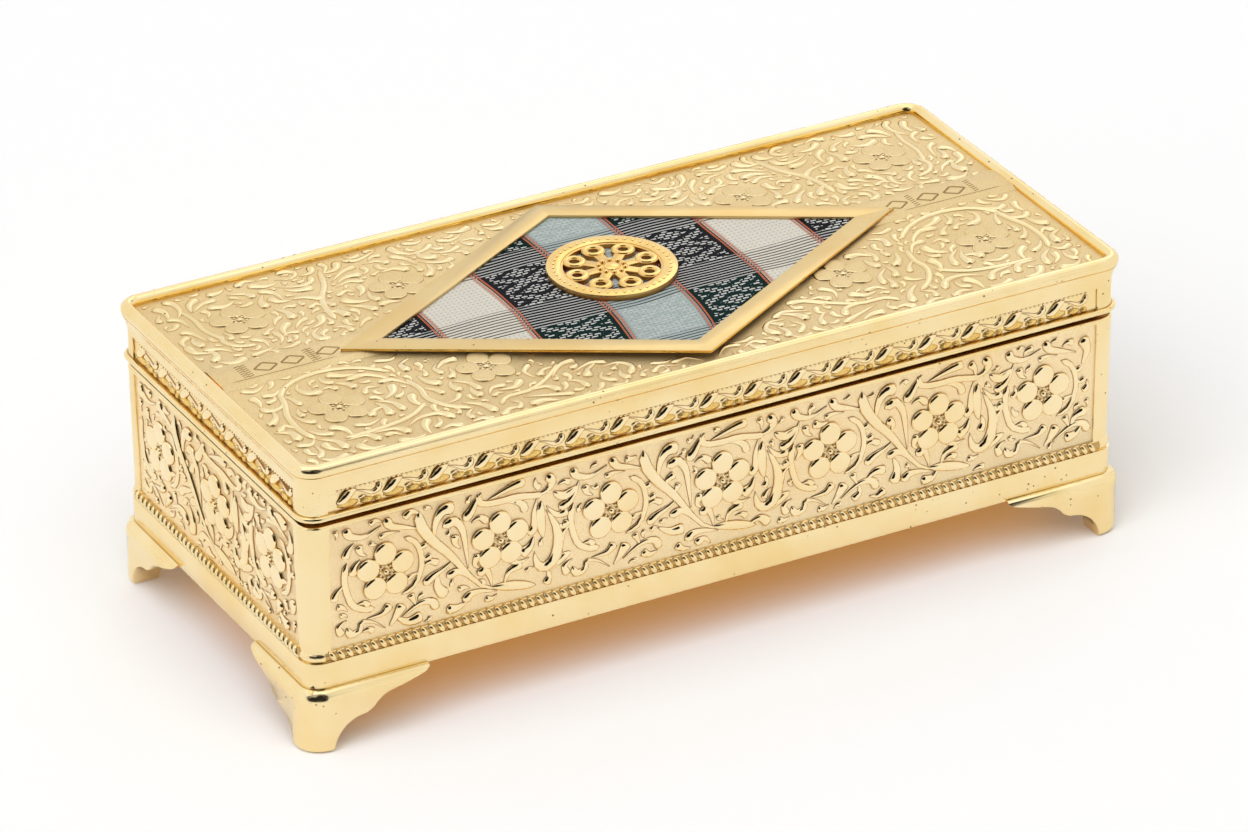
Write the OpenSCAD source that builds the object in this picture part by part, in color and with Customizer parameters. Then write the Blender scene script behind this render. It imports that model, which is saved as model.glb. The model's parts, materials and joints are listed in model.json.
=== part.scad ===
// Footed sweets box with a hinged lid, in plated cast metal.
// Frame: X along the box, front towards -Y, Z up, origin on the ground under
// the middle of the four walls.  Offsets called "out" are measured outwards
// from the wall line, the rounded rectangle of box_l by box_w.

/* [Box] */
// Length over the walls, at the rim
box_l = 199; // [170:1:240]
// Depth over the walls, front to back
box_w = 88.6; // [76:0.2:110]
// Height of the outer rim of the body above the ground
rim_h = 53.4; // [46:0.2:70]
// Radius of the four upright corners
corner_r = 4; // [3.4:0.2:7]
// Thickness of the cast walls
wall_t = 2.2; // [1.8:0.1:2.8]
// Thickness of the cast floor
floor_t = 2.2; // [1.6:0.1:3.2]
// How far each wall leans in towards its foot, for drawing from the mould
draft = 0.45; // [0:0.05:0.8]
// Height of the plain plinth band
plinth_h = 6.2; // [4:0.2:9]
// Radius of the rope moulding above the plinth
rope_r = 1.2; // [0.8:0.1:1.8]
// Width of the plain upright at each side of a panel
pilaster_w = 5.6; // [4.6:0.2:9]
// Depth of the sunk relief panels
panel_deep = 0.5; // [0.3:0.1:0.8]

/* [Locating collar] */
// Height of the collar above the outer rim
collar_h = 4; // [3:0.2:6]
// Thickness of the collar
collar_t = 1.5; // [1.2:0.1:2]
// Width of the outer rim in front of the collar
rim_w = 3; // [2.7:0.1:3.4]
// Clearance between the collar and the lid around it
collar_gap = 0.35; // [0.25:0.05:0.6]
// Gap between the rim and the lip of the closed lid
lid_gap = 1.4; // [1:0.1:2.2]

/* [Feet] */
// Height of a foot up to the top of its lip
foot_h = 14.7; // [12:0.1:20]
// Length of a foot along the front
foot_wing_x = 29.8; // [26:0.2:40]
// Length of a foot along the side
foot_wing_y = 27.4; // [26:0.2:34]
// How far the face of a foot stands out from the wall line
foot_out = 1.9; // [1.4:0.1:2.6]
// Thickness of the wings of a foot
foot_t = 2.6; // [2:0.1:3.4]
// Width of a foot where it stands on the ground
toe_w = 7; // [6:0.2:8]
// Radius of the rounded slope that joins the plinth to the face of a foot
foot_lip_r = 2.8; // [2.4:0.1:3.4]
// How far that slope laps over the lower edge of the plinth
foot_lap = 0.2; // [0.1:0.05:0.6]
// Radius of the lower cove of a bracket, next to the toe
low_cove_r = 7.8; // [7:0.1:8.6]
// Radius of the upper cove of a bracket, under the wing
high_cove_r = 7; // [5.5:0.1:8]
// Radius of the shank of a foot screw
screw_r = 1.2; // [1:0.1:1.5]
// Length of a foot screw under its head
screw_l = 8; // [6:0.5:9]

/* [Lid] */
// Height of the lid from its lip to the top of its rolled edge
lid_h = 13.4; // [12.6:0.2:16]
// Radius of the rolled edge round the top
roll_r = 1.55; // [1.2:0.05:1.9]
// How far the rolled edge stands out from the wall line
roll_out = 1.2; // [0.8:0.1:1.5]
// How far the lid's own wall is set in from the wall line
lid_in = 0.2; // [0:0.05:0.4]
// How far the lower lip stands out from the wall line
lip_out = 0.8; // [0.5:0.1:1.1]
// Height of the plain lip at the bottom of the lid
lip_h = 1.3; // [1:0.1:1.6]
// Height of the sunk leaf frieze above the lip
frieze_h = 5.1; // [4.4:0.1:5.6]
// Depth of the sunk frieze
frieze_deep = 0.5; // [0.3:0.05:0.6]
// Depth of the sunk top field under the rolled edge, at its edges
field_deep = 1.9; // [1.4:0.1:2.2]
// Rise of the crowned field from its edges to the middle
crown = 0.7; // [0.3:0.1:0.8]
// Thickness of the top plate at its edges
plate_t = 1.8; // [1.4:0.1:2.2]
// Width of the raised band along the middle of the top
band_w = 7.5; // [4:0.5:10]
// How far that band lies behind the middle of the lid
band_y = 1.6; // [0:0.1:3]

/* [Fabric diamond] */
// Length of the diamond frame along the lid
diamond_l = 136.8; // [110:1:150]
// Width of the diamond frame across the lid
diamond_w = 79.2; // [64:1:81]
// Width of the flat band of the frame
diamond_band = 5; // [4:0.2:6]
// Thickness of the frame
diamond_t = 0.6; // [0.4:0.1:1]
// Thickness of the card under the fabric
card_t = 0.9; // [0.6:0.1:1]
// Thickness of the fabric
fabric_t = 0.45; // [0.3:0.05:0.6]
// Outer radius of the medallion ring
medal_r = 14.4; // [10:0.2:16]
// Width of the ring of the medallion
medal_ring_w = 3.2; // [2.4:0.2:4]
// Thickness of the medallion
medal_t = 1.6; // [1.2:0.1:2.4]
// How far the medallion sits behind the middle of the diamond
medal_y = 4.6; // [0:0.2:6]
// Number of petals in the pierced rosette
petals = 8; // [6:1:10]
// Radius of the pegs behind the frame and the medallion
peg_r = 0.7; // [0.5:0.05:0.8]

/* [Hinges] */
// Distance from the middle of the box to each hinge
hinge_x = 55; // [40:1:65]
// Distance of the hinge axis behind the wall line
hinge_out = 2.1; // [2:0.1:2.8]
// Radius of the knuckles
knuckle_r = 1.8; // [1.6:0.05:1.9]
// Radius of the hinge pin
pin_r = 0.8; // [0.6:0.05:0.9]
// Running clearance of the pin in the lid knuckle, on the radius
pin_gap = 0.06; // [0.03:0.01:0.09]
// Width of the lid knuckle
lid_knuckle_w = 8; // [6:0.5:10]
// Width of each body knuckle
body_knuckle_w = 5; // [4:0.5:7]
// Opening angle at which the stop lug meets the back wall
stop_angle = 104; // [101:0.5:115]

/* [Linings] */
// Thickness of the velvet-covered boards on the walls
lining_t = 1.6; // [1.2:0.1:1.8]
// Thickness of the velvet pad on the floor
pad_t = 2.2; // [1.6:0.2:4]
// Thickness of the velvet pad in the lid
lid_pad_t = 2; // [1.4:0.2:3]

/* [Hidden] */
$fn = 96;

GOLD = [0.93, 0.80, 0.50];
DEEP_GOLD = [0.90, 0.72, 0.36];
VELVET = [0.45, 0.06, 0.10];
CLOTH = [0.55, 0.60, 0.60];
CARD = [0.75, 0.68, 0.55];
STEEL = [0.72, 0.72, 0.74];

far = 1;                                  // run-out of a cut past the surface that it opens
fit = 0.1;                                // clearance of pieces that are laid in by hand
seat_gap = 0.05;                          // air between the lid and the collar when shut
small_r = 0.8;                            // least radius of an inner corner

floor_z = foot_h - foot_lap;              // underside of the body
plinth_z = floor_z + plinth_h;            // top of the plinth
plinth_out = 0.1;
rope_z = plinth_z + rope_r;
panel_z = rope_z + rope_r;
panel_top = rim_h - 0.9;
rim_round = 0.4;
lean = draft / (rim_h - plinth_z);        // lean of the wall for each mm of height

inner_out = -(wall_t + draft);            // inner face of the wall
collar_out = -rim_w;
collar_in_out = collar_out - collar_t;
collar_top = rim_h + collar_h;
collar_root = rim_h - 3;                  // underside of the collar inside the box
floor_top = floor_z + floor_t;

lip_z = rim_h + lid_gap;                  // underside of the lid
frieze_z = lip_z + lip_h;
cove_z = frieze_z + frieze_h;
lid_top = lip_z + lid_h;
roll_z = lid_top - roll_r;
cove_quirk = 0.3;                         // upper edge of the cove, in from the outermost of the roll
cove_rise = roll_z - 0.7 * roll_r - cove_z;
cove_deep = roll_out - cove_quirk + lid_in;
cove_r = (pow(cove_rise, 2) + pow(cove_deep, 2)) / (2 * cove_deep);
field_z = lid_top - field_deep;           // top field at its edges
field_out = roll_out - 2 * roll_r;        // where the field meets the rolled edge
crown_z = field_z + crown;
band_z = lid_top - diamond_t;             // top of the raised band, where the frame rests
plate_z = field_z - plate_t;              // underside of the top plate
ledge_z = collar_top + seat_gap;          // lid ledge that seats on the collar
rabbet_out = collar_out + collar_gap;
hollow_out = rabbet_out - 1.25;
pad_ledge_z = plate_z - 1.7;
pad_hollow_out = hollow_out - 1.5;

long_board = box_l + 2 * inner_out - 2 * max(corner_r + inner_out, small_r);
short_board = box_w + 2 * inner_out - 2 * lining_t - 2 * fit;

hinge_y = box_w / 2 + hinge_out;
hinge_z = rim_h + lid_gap / 2;
knuckle_gap = 0.25;                       // side play between knuckles
sweep_gap = 0.35;                         // room round a turning knuckle
hinge_pad_in = 0.15;                      // hinge pad on the back wall, in from the wall line
stop_bite = 0.4;                          // how far the stop lug reaches past the wall line
stop_reach = hinge_out + stop_bite;       // tip of the stop lug from the hinge axis
hinge_w = lid_knuckle_w + 2 * body_knuckle_w + 2 * knuckle_gap;

toe_round = 1.2;
lip_over = 0.12;                          // foot of the slope, out from the face of a foot
foot_pad_t = 2.2;
foot_pad_w = 15;
boss_r = 3.2;
boss_in = 8.6;                            // screw axis, in from the wall line
head_r = 2.3;
head_h = 1.3;

pocket_in = 3.4;                          // pocket edge, in from the edge of the frame
peg_in = 1.7;                             // frame pegs, in from the edge of the frame
nut_r = 2.1;
nut_t = 0.6;
peg_end_z = plate_z - nut_t - 0.4;
card_z = band_z - fabric_t - card_t;
fabric_z = band_z - fabric_t;
medal_peg_x = medal_r - medal_ring_w / 2;

// Rounded rectangle, grown outwards from the wall line by out
module wall_outline(out) {
    r = max(corner_r + out, small_r);
    x = box_l / 2 + out - r;
    y = box_w / 2 + out - r;
    union() {
        square([2 * x, 2 * (y + r)], center = true);
        square([2 * (x + r), 2 * y], center = true);
        for (sx = [-1, 1], sy = [-1, 1])
            translate([sx * x, sy * y]) circle(r);
    }
}

// Prism on that outline
module slab(out, z0, z1) {
    translate([0, 0, z0]) linear_extrude(height = z1 - z0) wall_outline(out);
}

// Carries an edge profile once round the box; the profile's x runs outwards from
// the corner centre and its y is height
module carry_round() {
    x = box_l / 2 - corner_r;
    y = box_w / 2 - corner_r;
    for (side = [0, 180]) {
        rotate(side) translate([x, 0, 0]) rotate([90, 0, 0])
            linear_extrude(height = 2 * y, center = true) children();
        rotate(side + 90) translate([y, 0, 0]) rotate([90, 0, 0])
            linear_extrude(height = 2 * x, center = true) children();
    }
    for (corner = [[1, 1, 0], [-1, 1, 90], [-1, -1, 180], [1, -1, 270]])
        translate([corner[0] * x, corner[1] * y, 0]) rotate(corner[2])
            rotate_extrude(angle = 90) children();
}

// Fills the middle that carry_round leaves open
module core(z0, z1) {
    translate([corner_r - box_l / 2, corner_r - box_w / 2, z0])
        cube([box_l - 2 * corner_r, box_w - 2 * corner_r, z1 - z0]);
}

// Edge profile of the body: plinth, rope moulding, leaning wall and rim
module body_profile() {
    base = corner_r;
    polygon([[0, floor_z], [base + plinth_out, floor_z], [base + plinth_out, plinth_z],
        [base - draft, plinth_z], [base - rim_round * lean, rim_h - rim_round],
        [base - rim_round, rim_h], [0, rim_h]]);
    intersection() {
        translate([base + plinth_out - rope_r, rope_z]) circle(rope_r);
        translate([0, plinth_z]) square([2 * base, 2 * rope_r]);
    }
}

// Edge profile of the lid: lip, frieze, cove and rolled edge
module lid_profile() {
    face = corner_r - lid_in;
    lip_r = lip_h / 2;
    roll_x = corner_r + roll_out - roll_r;
    union() {
        translate([0, lip_z]) square([face, roll_z - lip_z]);
        translate([0, lip_z]) square([corner_r + lip_out - lip_r, lip_h]);
        translate([corner_r + lip_out - lip_r, lip_z + lip_r]) circle(lip_r);
        translate([0, cove_z + cove_rise]) square([roll_x, roll_z - cove_z - cove_rise]);
        translate([roll_x, roll_z]) circle(roll_r);
        difference() {
            translate([0, cove_z]) square([face + cove_deep, cove_rise]);
            translate([face + cove_r, cove_z]) circle(cove_r);
        }
    }
}

// Cut for the sunk relief panel of one wall, leaning with the wall
module panel_cut(half, across) {
    deep = corner_r - panel_deep;
    low = deep - lean * (rim_h - panel_z);
    high = deep - lean * (rim_h - panel_top);
    translate([half - corner_r, 0, 0]) rotate([90, 0, 0])
        linear_extrude(height = across, center = true)
            polygon([[low, panel_z], [corner_r + far, panel_z], [corner_r + far, panel_top],
                [high, panel_top]]);
}

// All four panel cuts
module panel_cuts() {
    for (side = [0, 180]) {
        rotate(side) panel_cut(box_l / 2, box_w - 2 * pilaster_w);
        rotate(side + 90) panel_cut(box_w / 2, box_l - 2 * pilaster_w);
    }
}

// Runs a length of round bar or bore along a hinge axis
module along_axis(r, length) {
    rotate([0, 90, 0]) cylinder(r = r, h = length, center = true);
}

// Side view of a body knuckle with the gusset that carries it down the wall
module body_lug_outline() {
    wall_y = -hinge_out - panel_deep;
    union() {
        circle(knuckle_r);
        polygon([[wall_y, -knuckle_r * 0.45], [-knuckle_r * 0.9, -knuckle_r * 0.45],
            [0, -knuckle_r], [knuckle_r * 0.8, -knuckle_r * 0.6], [wall_y, -5.2]]);
    }
}

// Side view of the lid knuckle, with its arm up to the frieze and its stop lug
module lid_lug_outline() {
    touch = 180 + acos(hinge_out / stop_reach);
    root = -hinge_out - lid_in - frieze_deep - far / 2;
    lead = touch + stop_angle;
    union() {
        circle(knuckle_r);
        polygon([[root, knuckle_r * 0.6], [0, 0], [knuckle_r, 0],
            [knuckle_r * 0.9, 1.2], [-hinge_out + 0.6, 5.2], [root, 5.2]]);
        polygon([[0, 0], stop_reach * [cos(lead), sin(lead)],
            knuckle_r * [cos(lead + 50), sin(lead + 50)]]);
    }
}

// Turns a side view in Y and Z into a plate of the given width, centred on x
module lug(x, w) {
    translate([x - w / 2, 0, 0]) rotate([90, 0, 90]) linear_extrude(height = w) children();
}

// Two body knuckles of one hinge
module body_knuckles() {
    x = (lid_knuckle_w + body_knuckle_w) / 2 + knuckle_gap;
    for (s = [-1, 1]) lug(s * x, body_knuckle_w) body_lug_outline();
}

module box_body() {
    color(GOLD) difference() {
        union() {
            difference() {
                union() {
                    carry_round() body_profile();
                    core(floor_z, rim_h);
                }
                panel_cuts();
            }
            slab(collar_out, rim_h - far, collar_top);
            for (s = [-1, 1]) translate([s * hinge_x, 0, 0]) {
                translate([-hinge_w / 2, box_w / 2 - draft - panel_deep, rim_h - 8])
                    cube([hinge_w, draft + panel_deep - hinge_pad_in, 8 - rim_round]);
                translate([0, hinge_y, hinge_z]) body_knuckles();
            }
        }
        slab(inner_out, floor_top, collar_root);
        slab(collar_in_out, floor_top, collar_top + far);
        for (s = [-1, 1]) translate([s * hinge_x, hinge_y, hinge_z]) {
            along_axis(pin_r, hinge_w + far);
            along_axis(knuckle_r + sweep_gap / 2, lid_knuckle_w + 2 * knuckle_gap);
        }
        at_feet() {
            translate([0, 0, floor_z - far]) cylinder(r = screw_r + fit, h = floor_t + 2 * far);
            translate([0, 0, floor_top - head_h])
                cylinder(r1 = screw_r + fit, r2 = head_r + fit, h = head_h);
            translate([0, 0, floor_top]) cylinder(r = head_r + fit, h = far / 2);
        }
    }
}

// Places a child on each of the four foot screw axes
module at_feet() {
    for (sx = [-1, 1], sy = [-1, 1])
        translate([sx * (box_l / 2 - boss_in), sy * (box_w / 2 - boss_in), 0]) children();
}

// Section through a wing of a foot
module foot_section() {
    out = corner_r + foot_out;
    back = out - foot_t;
    reach = foot_out + lip_over - plinth_out - fit / 2;
    rise = sqrt(pow(foot_lip_r, 2) - pow(foot_lip_r - reach, 2));
    difference() {
        union() {
            translate([back, 0]) square([foot_t - toe_round, foot_h - rise]);
            translate([back, toe_round]) square([foot_t, foot_h - rise - toe_round]);
            translate([out - toe_round, toe_round]) circle(toe_round);
            intersection() {
                translate([out + lip_over - foot_lip_r, foot_h - rise]) circle(foot_lip_r);
                translate([back, foot_h - rise - 2 * lip_over])
                    square([foot_t + lip_over, rise + 2 * lip_over]);
            }
        }
        translate([0, floor_z]) square([corner_r + plinth_out + fit / 2, foot_h]);
    }
}

// Side view of a bracket: toe, lower cove, cusp, upper cove and the wing that runs out thin
module bracket_outline(wing) {
    low_x = toe_w + low_cove_r - 0.5;
    low_top = low_cove_r - 0.4;
    cusp = low_x + 1.9;
    cusp_z = low_top + 1.1;
    difference() {
        translate([-far, 0]) polygon([[0, 0], [low_x + far, 0], [low_x + far, low_top],
            [cusp + far, cusp_z], [cusp + far + 3.8, cusp_z], [cusp + far + 3.8, foot_h - 3.5],
            [wing + far - 1.2, foot_h - 1.3], [wing + far, foot_h - 0.6],
            [wing + far, foot_h], [0, foot_h]]);
        translate([low_x, low_top - low_cove_r]) circle(low_cove_r);
        translate([cusp + 5.7, foot_h - 3.2 - high_cove_r]) circle(high_cove_r);
    }
}

// One foot, modelled at the corner where x and y are greatest
module foot() {
    x = box_l / 2 - corner_r;
    y = box_w / 2 - corner_r;
    end_x = box_l / 2 + foot_out;
    end_y = box_w / 2 + foot_out;
    color(GOLD) difference() {
        union() {
            intersection() {
                union() {
                    translate([x, y, 0]) rotate_extrude(angle = 90) foot_section();
                    translate([x, y, 0]) rotate([90, 0, 0])
                        linear_extrude(height = foot_wing_y) foot_section();
                    translate([x - foot_wing_x, y, 0]) rotate([90, 0, 90])
                        linear_extrude(height = foot_wing_x) foot_section();
                    translate([end_x - toe_w, end_y - toe_w, 0])
                        cube([toe_w - foot_out - 0.4, toe_w - foot_out - 0.4, floor_z]);
                }
                translate([end_x, end_y + far, 0]) rotate([90, 0, 0]) mirror([1, 0, 0])
                    linear_extrude(height = 2 * foot_wing_y) bracket_outline(foot_wing_x);
                translate([end_x + far - 2 * foot_wing_x, end_y, 0]) rotate([90, 0, 90])
                    mirror([1, 0, 0]) linear_extrude(height = 2 * foot_wing_x)
                        bracket_outline(foot_wing_y);
            }
            translate([end_x - foot_pad_w, end_y - foot_pad_w, floor_z - foot_pad_t])
                cube([foot_pad_w - foot_out - 0.2, foot_pad_w - foot_out - 0.2, foot_pad_t]);
            translate([box_l / 2 - boss_in, box_w / 2 - boss_in, floor_z - screw_l])
                cylinder(r = boss_r, h = screw_l);
        }
        translate([box_l / 2 - boss_in, box_w / 2 - boss_in, floor_z - screw_l + 1])
            cylinder(r = screw_r, h = screw_l);
    }
}

// A foot turned to another corner by mirroring
module foot_at(flip_x, flip_y) {
    mirror([flip_x ? 1 : 0, 0, 0]) mirror([0, flip_y ? 1 : 0, 0]) foot();
}

module foot_front_left() { foot_at(true, true); }
module foot_front_right() { foot_at(false, true); }
module foot_rear_left() { foot_at(true, false); }
module foot_rear_right() { foot_at(false, false); }

module foot_screws() {
    color(STEEL) at_feet() {
        translate([0, 0, floor_top - head_h]) cylinder(r1 = screw_r, r2 = head_r, h = head_h);
        translate([0, 0, floor_top - screw_l]) cylinder(r = screw_r, h = screw_l - head_h + fit);
    }
}

module base_pad() {
    color(VELVET) slab(inner_out - lining_t - fit, floor_top, floor_top + pad_t);
}

// A wall board along X or Y, from the floor up to the collar
module lining_board(length, thick) {
    translate([-length / 2, 0, floor_top]) cube([length, thick, collar_root - fit - floor_top]);
}

module lining_front() {
    color(VELVET) translate([0, -box_w / 2 - inner_out, 0])
        lining_board(long_board, lining_t);
}

module lining_rear() {
    color(VELVET) rotate(180) translate([0, -box_w / 2 - inner_out, 0])
        lining_board(long_board, lining_t);
}

module lining_left() {
    color(VELVET) rotate(-90) translate([0, -box_l / 2 - inner_out, 0])
        lining_board(short_board, lining_t);
}

module lining_right() {
    color(VELVET) rotate(90) translate([0, -box_l / 2 - inner_out, 0])
        lining_board(short_board, lining_t);
}

// One hinge pin, pressed into the body knuckles
module hinge_pin(side) {
    color(STEEL) translate([side * hinge_x, hinge_y, hinge_z]) along_axis(pin_r, hinge_w + 0.4);
}

module hinge_pin_left() { hinge_pin(-1); }
module hinge_pin_right() { hinge_pin(1); }

// Rhombus of the frame's outer edge, drawn in by a distance from every side
module rhombus(inset) {
    a = diamond_l / 2;
    b = diamond_w / 2;
    k = 1 - inset * sqrt(a * a + b * b) / (a * b);
    polygon([[-a * k, 0], [0, -b * k], [a * k, 0], [0, b * k]]);
}

// Places a child on each frame peg, half way along a side of the frame
module at_frame_pegs() {
    a = diamond_l / 2;
    b = diamond_w / 2;
    k = 1 - peg_in * sqrt(a * a + b * b) / (a * b);
    for (sx = [-1, 1], sy = [-1, 1])
        translate([sx * a * k / 2, sy * b * k / 2, 0]) children();
}

// Places a child on the two medallion pegs
module at_medal_pegs() {
    for (s = [-1, 1]) translate([s * medal_peg_x, medal_y, 0]) children();
}

// Top field, which falls away on both sides of its raised middle band
module top_field() {
    half = box_w / 2 + field_out;
    front = band_y - band_w / 2;
    rear = band_y + band_w / 2;
    intersection() {
        slab(field_out, plate_z, band_z);
        translate([-box_l / 2, 0, 0]) rotate([90, 0, 90]) linear_extrude(height = box_l)
            polygon([[-half, plate_z], [-half, field_z], [front, crown_z], [front, band_z],
                [rear, band_z], [rear, crown_z], [half, field_z], [half, plate_z]]);
    }
}

// Sunk frieze between the corner blocks of one lid wall
module frieze_cut(half, across) {
    translate([half - lid_in - frieze_deep, -across / 2, frieze_z])
        cube([frieze_deep + far, across, frieze_h]);
}

module lid_shell() {
    color(GOLD) difference() {
        union() {
            difference() {
                union() {
                    carry_round() lid_profile();
                    core(lip_z, field_z);
                }
                slab(field_out, field_z, lid_top + far);
                for (side = [0, 180]) {
                    rotate(side) frieze_cut(box_l / 2, box_w - 2 * pilaster_w);
                    rotate(side + 90) frieze_cut(box_w / 2, box_l - 2 * pilaster_w);
                }
                for (s = [-1, 1]) translate([s * hinge_x, hinge_y, hinge_z])
                    along_axis(knuckle_r + sweep_gap, hinge_w + 2 * knuckle_gap);
            }
            top_field();
            for (s = [-1, 1]) translate([s * hinge_x, hinge_y, hinge_z])
                lug(0, lid_knuckle_w) lid_lug_outline();
        }
        slab(rabbet_out, lip_z - far, ledge_z);
        slab(hollow_out, ledge_z - far, pad_ledge_z);
        slab(pad_hollow_out, pad_ledge_z - far, plate_z);
        translate([0, 0, card_z]) linear_extrude(height = lid_top) rhombus(pocket_in);
        at_frame_pegs() translate([0, 0, plate_z - far]) cylinder(r = peg_r + fit, h = lid_h);
        at_medal_pegs() translate([0, 0, plate_z - far]) cylinder(r = peg_r + fit, h = lid_h);
        for (s = [-1, 1]) translate([s * hinge_x, hinge_y, hinge_z])
            along_axis(pin_r + pin_gap, hinge_w);
    }
}

module diamond_frame() {
    color(GOLD) union() {
        translate([0, 0, band_z]) linear_extrude(height = diamond_t) difference() {
            rhombus(0);
            rhombus(diamond_band);
        }
        at_frame_pegs() translate([0, 0, peg_end_z]) cylinder(r = peg_r, h = band_z - peg_end_z + fit);
    }
}

module fabric_inset() {
    color(CLOTH) difference() {
        translate([0, 0, fabric_z]) linear_extrude(height = fabric_t) rhombus(pocket_in + fit);
        at_medal_pegs() translate([0, 0, fabric_z - far]) cylinder(r = peg_r + fit, h = 3 * far);
    }
}

module fabric_card() {
    color(CARD) difference() {
        translate([0, 0, card_z]) linear_extrude(height = card_t) rhombus(pocket_in + fit);
        at_medal_pegs() translate([0, 0, card_z - far]) cylinder(r = peg_r + fit, h = 3 * far);
    }
}

// Pierced rosette: petals, the ring that they hold and a middle boss
module rosette() {
    reach = medal_r - medal_ring_w;
    petal_r = reach * sin(180 / petals) * 0.62;
    difference() {
        union() {
            circle(reach * 0.34);
            for (i = [0:petals - 1]) rotate(i * 360 / petals) {
                translate([reach - petal_r, 0]) circle(petal_r);
                translate([0, -petal_r * 0.45]) square([reach - petal_r, petal_r * 0.9]);
            }
        }
        for (i = [0:petals - 1]) rotate(i * 360 / petals)
            translate([reach - petal_r, 0]) circle(petal_r * 0.42);
    }
}

module medallion() {
    color(DEEP_GOLD) union() {
        translate([0, medal_y, band_z]) linear_extrude(height = medal_t) difference() {
            circle(medal_r);
            circle(medal_r - medal_ring_w);
        }
        translate([0, medal_y, band_z]) linear_extrude(height = medal_t * 0.8) union() {
            rosette();
            difference() {
                circle(medal_r - medal_ring_w + fit);
                circle(medal_r - medal_ring_w - 0.5);
            }
        }
        at_medal_pegs() translate([0, 0, peg_end_z]) cylinder(r = peg_r, h = band_z - peg_end_z + fit);
    }
}

// One push-on nut gripping a peg under the top plate
module push_nut() {
    translate([0, 0, plate_z - nut_t]) difference() {
        cylinder(r = nut_r, h = nut_t);
        translate([0, 0, -far]) cylinder(r = peg_r, h = 3 * far);
    }
}

module push_nuts() {
    color(STEEL) {
        at_frame_pegs() push_nut();
        at_medal_pegs() push_nut();
    }
}

module lid_pad() {
    color(VELVET) slab(hollow_out - fit, pad_ledge_z - lid_pad_t, pad_ledge_z);
}

box_body();
foot_front_left();
foot_front_right();
foot_rear_left();
foot_rear_right();
foot_screws();
base_pad();
lining_front();
lining_rear();
lining_left();
lining_right();
hinge_pin_left();
hinge_pin_right();
lid_shell();
diamond_frame();
fabric_inset();
fabric_card();
medallion();
push_nuts();
lid_pad();
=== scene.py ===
"""Looks of a footed sweets box in plated cast metal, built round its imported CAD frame.

Lengths in the classes are millimetres, and become metres where a mesh is made.  A relief is drawn
flat, x to the right, y up and z out of the surface, and is then laid on its wall or on the lid.
"""
import json
import logging
import math
import random
from dataclasses import dataclass
from enum import Enum
from typing import Callable, ClassVar, Sequence

import bpy
from mathutils import Matrix, Vector

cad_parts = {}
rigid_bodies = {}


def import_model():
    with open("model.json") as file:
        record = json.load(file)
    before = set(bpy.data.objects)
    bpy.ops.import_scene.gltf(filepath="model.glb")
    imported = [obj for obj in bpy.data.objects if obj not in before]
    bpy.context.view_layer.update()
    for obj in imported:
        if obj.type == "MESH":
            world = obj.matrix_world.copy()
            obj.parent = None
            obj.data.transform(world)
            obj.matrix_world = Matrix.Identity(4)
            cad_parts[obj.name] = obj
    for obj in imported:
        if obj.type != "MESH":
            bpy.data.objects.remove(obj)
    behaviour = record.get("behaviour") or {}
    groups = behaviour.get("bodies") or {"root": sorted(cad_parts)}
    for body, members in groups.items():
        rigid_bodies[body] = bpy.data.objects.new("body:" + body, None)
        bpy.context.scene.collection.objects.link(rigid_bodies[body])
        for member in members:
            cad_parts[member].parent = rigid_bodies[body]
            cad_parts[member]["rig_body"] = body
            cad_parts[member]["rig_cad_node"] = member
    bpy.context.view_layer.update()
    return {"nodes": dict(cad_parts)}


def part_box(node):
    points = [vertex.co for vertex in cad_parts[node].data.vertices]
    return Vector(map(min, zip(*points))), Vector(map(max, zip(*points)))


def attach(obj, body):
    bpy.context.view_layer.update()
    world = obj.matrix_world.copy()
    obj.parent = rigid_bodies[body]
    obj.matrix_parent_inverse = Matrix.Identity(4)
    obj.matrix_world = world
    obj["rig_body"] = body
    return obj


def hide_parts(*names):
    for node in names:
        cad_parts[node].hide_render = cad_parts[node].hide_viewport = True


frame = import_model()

LOG = logging.getLogger("sweets_box")
MM = 0.001
SHARP_EDGE = 28.0                  # edges of the CAD model that turn by more degrees are rounded
Point = tuple[float, float]
Triple = tuple[float, float, float]
Colour = Triple
Knot = tuple[float, float, float, float]
Piece = bpy.types.Object
Material = bpy.types.Material
Node = bpy.types.Node
Socket = bpy.types.NodeSocket


# ---------------------------------------------------------------------------------------------
# Bench work: small wrappers round the modelling operators
# ---------------------------------------------------------------------------------------------
def clear_selection() -> None:
    """Leaves edit mode and deselects everything."""
    if bpy.context.object and bpy.context.object.mode != "OBJECT":
        bpy.ops.object.mode_set(mode="OBJECT")
    bpy.ops.object.select_all(action="DESELECT")


def pick(piece: Piece) -> None:
    """Makes a piece the only one selected, and active."""
    clear_selection()
    piece.select_set(True)
    bpy.context.view_layer.objects.active = piece


def take_new(name: str) -> Piece:
    """Names the object that an operator has just added, and its mesh, and returns it."""
    piece = bpy.context.active_object
    piece.name = name
    piece.data.name = name
    return piece


def add_new(name: str, operator: Callable[..., set[str]], **settings: object) -> Piece:
    """Adds an object with an operator and these settings of it, and names it."""
    clear_selection()
    operator(**settings)
    return take_new(name)


def add_ball(name: str, radius: float, segments: int, rings: int) -> Piece:
    """Adds a ball with a radius in millimetres."""
    return add_new(name, bpy.ops.mesh.primitive_uv_sphere_add, segments=segments, ring_count=rings,
                   radius=radius * MM)


def edit_all(piece: Piece) -> None:
    """Opens a piece in edit mode with its whole mesh selected."""
    pick(piece)
    bpy.ops.object.mode_set(mode="EDIT")
    bpy.ops.mesh.select_all(action="SELECT")


def leave_edit() -> None:
    """Goes back to object mode."""
    bpy.ops.object.mode_set(mode="OBJECT")


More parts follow.
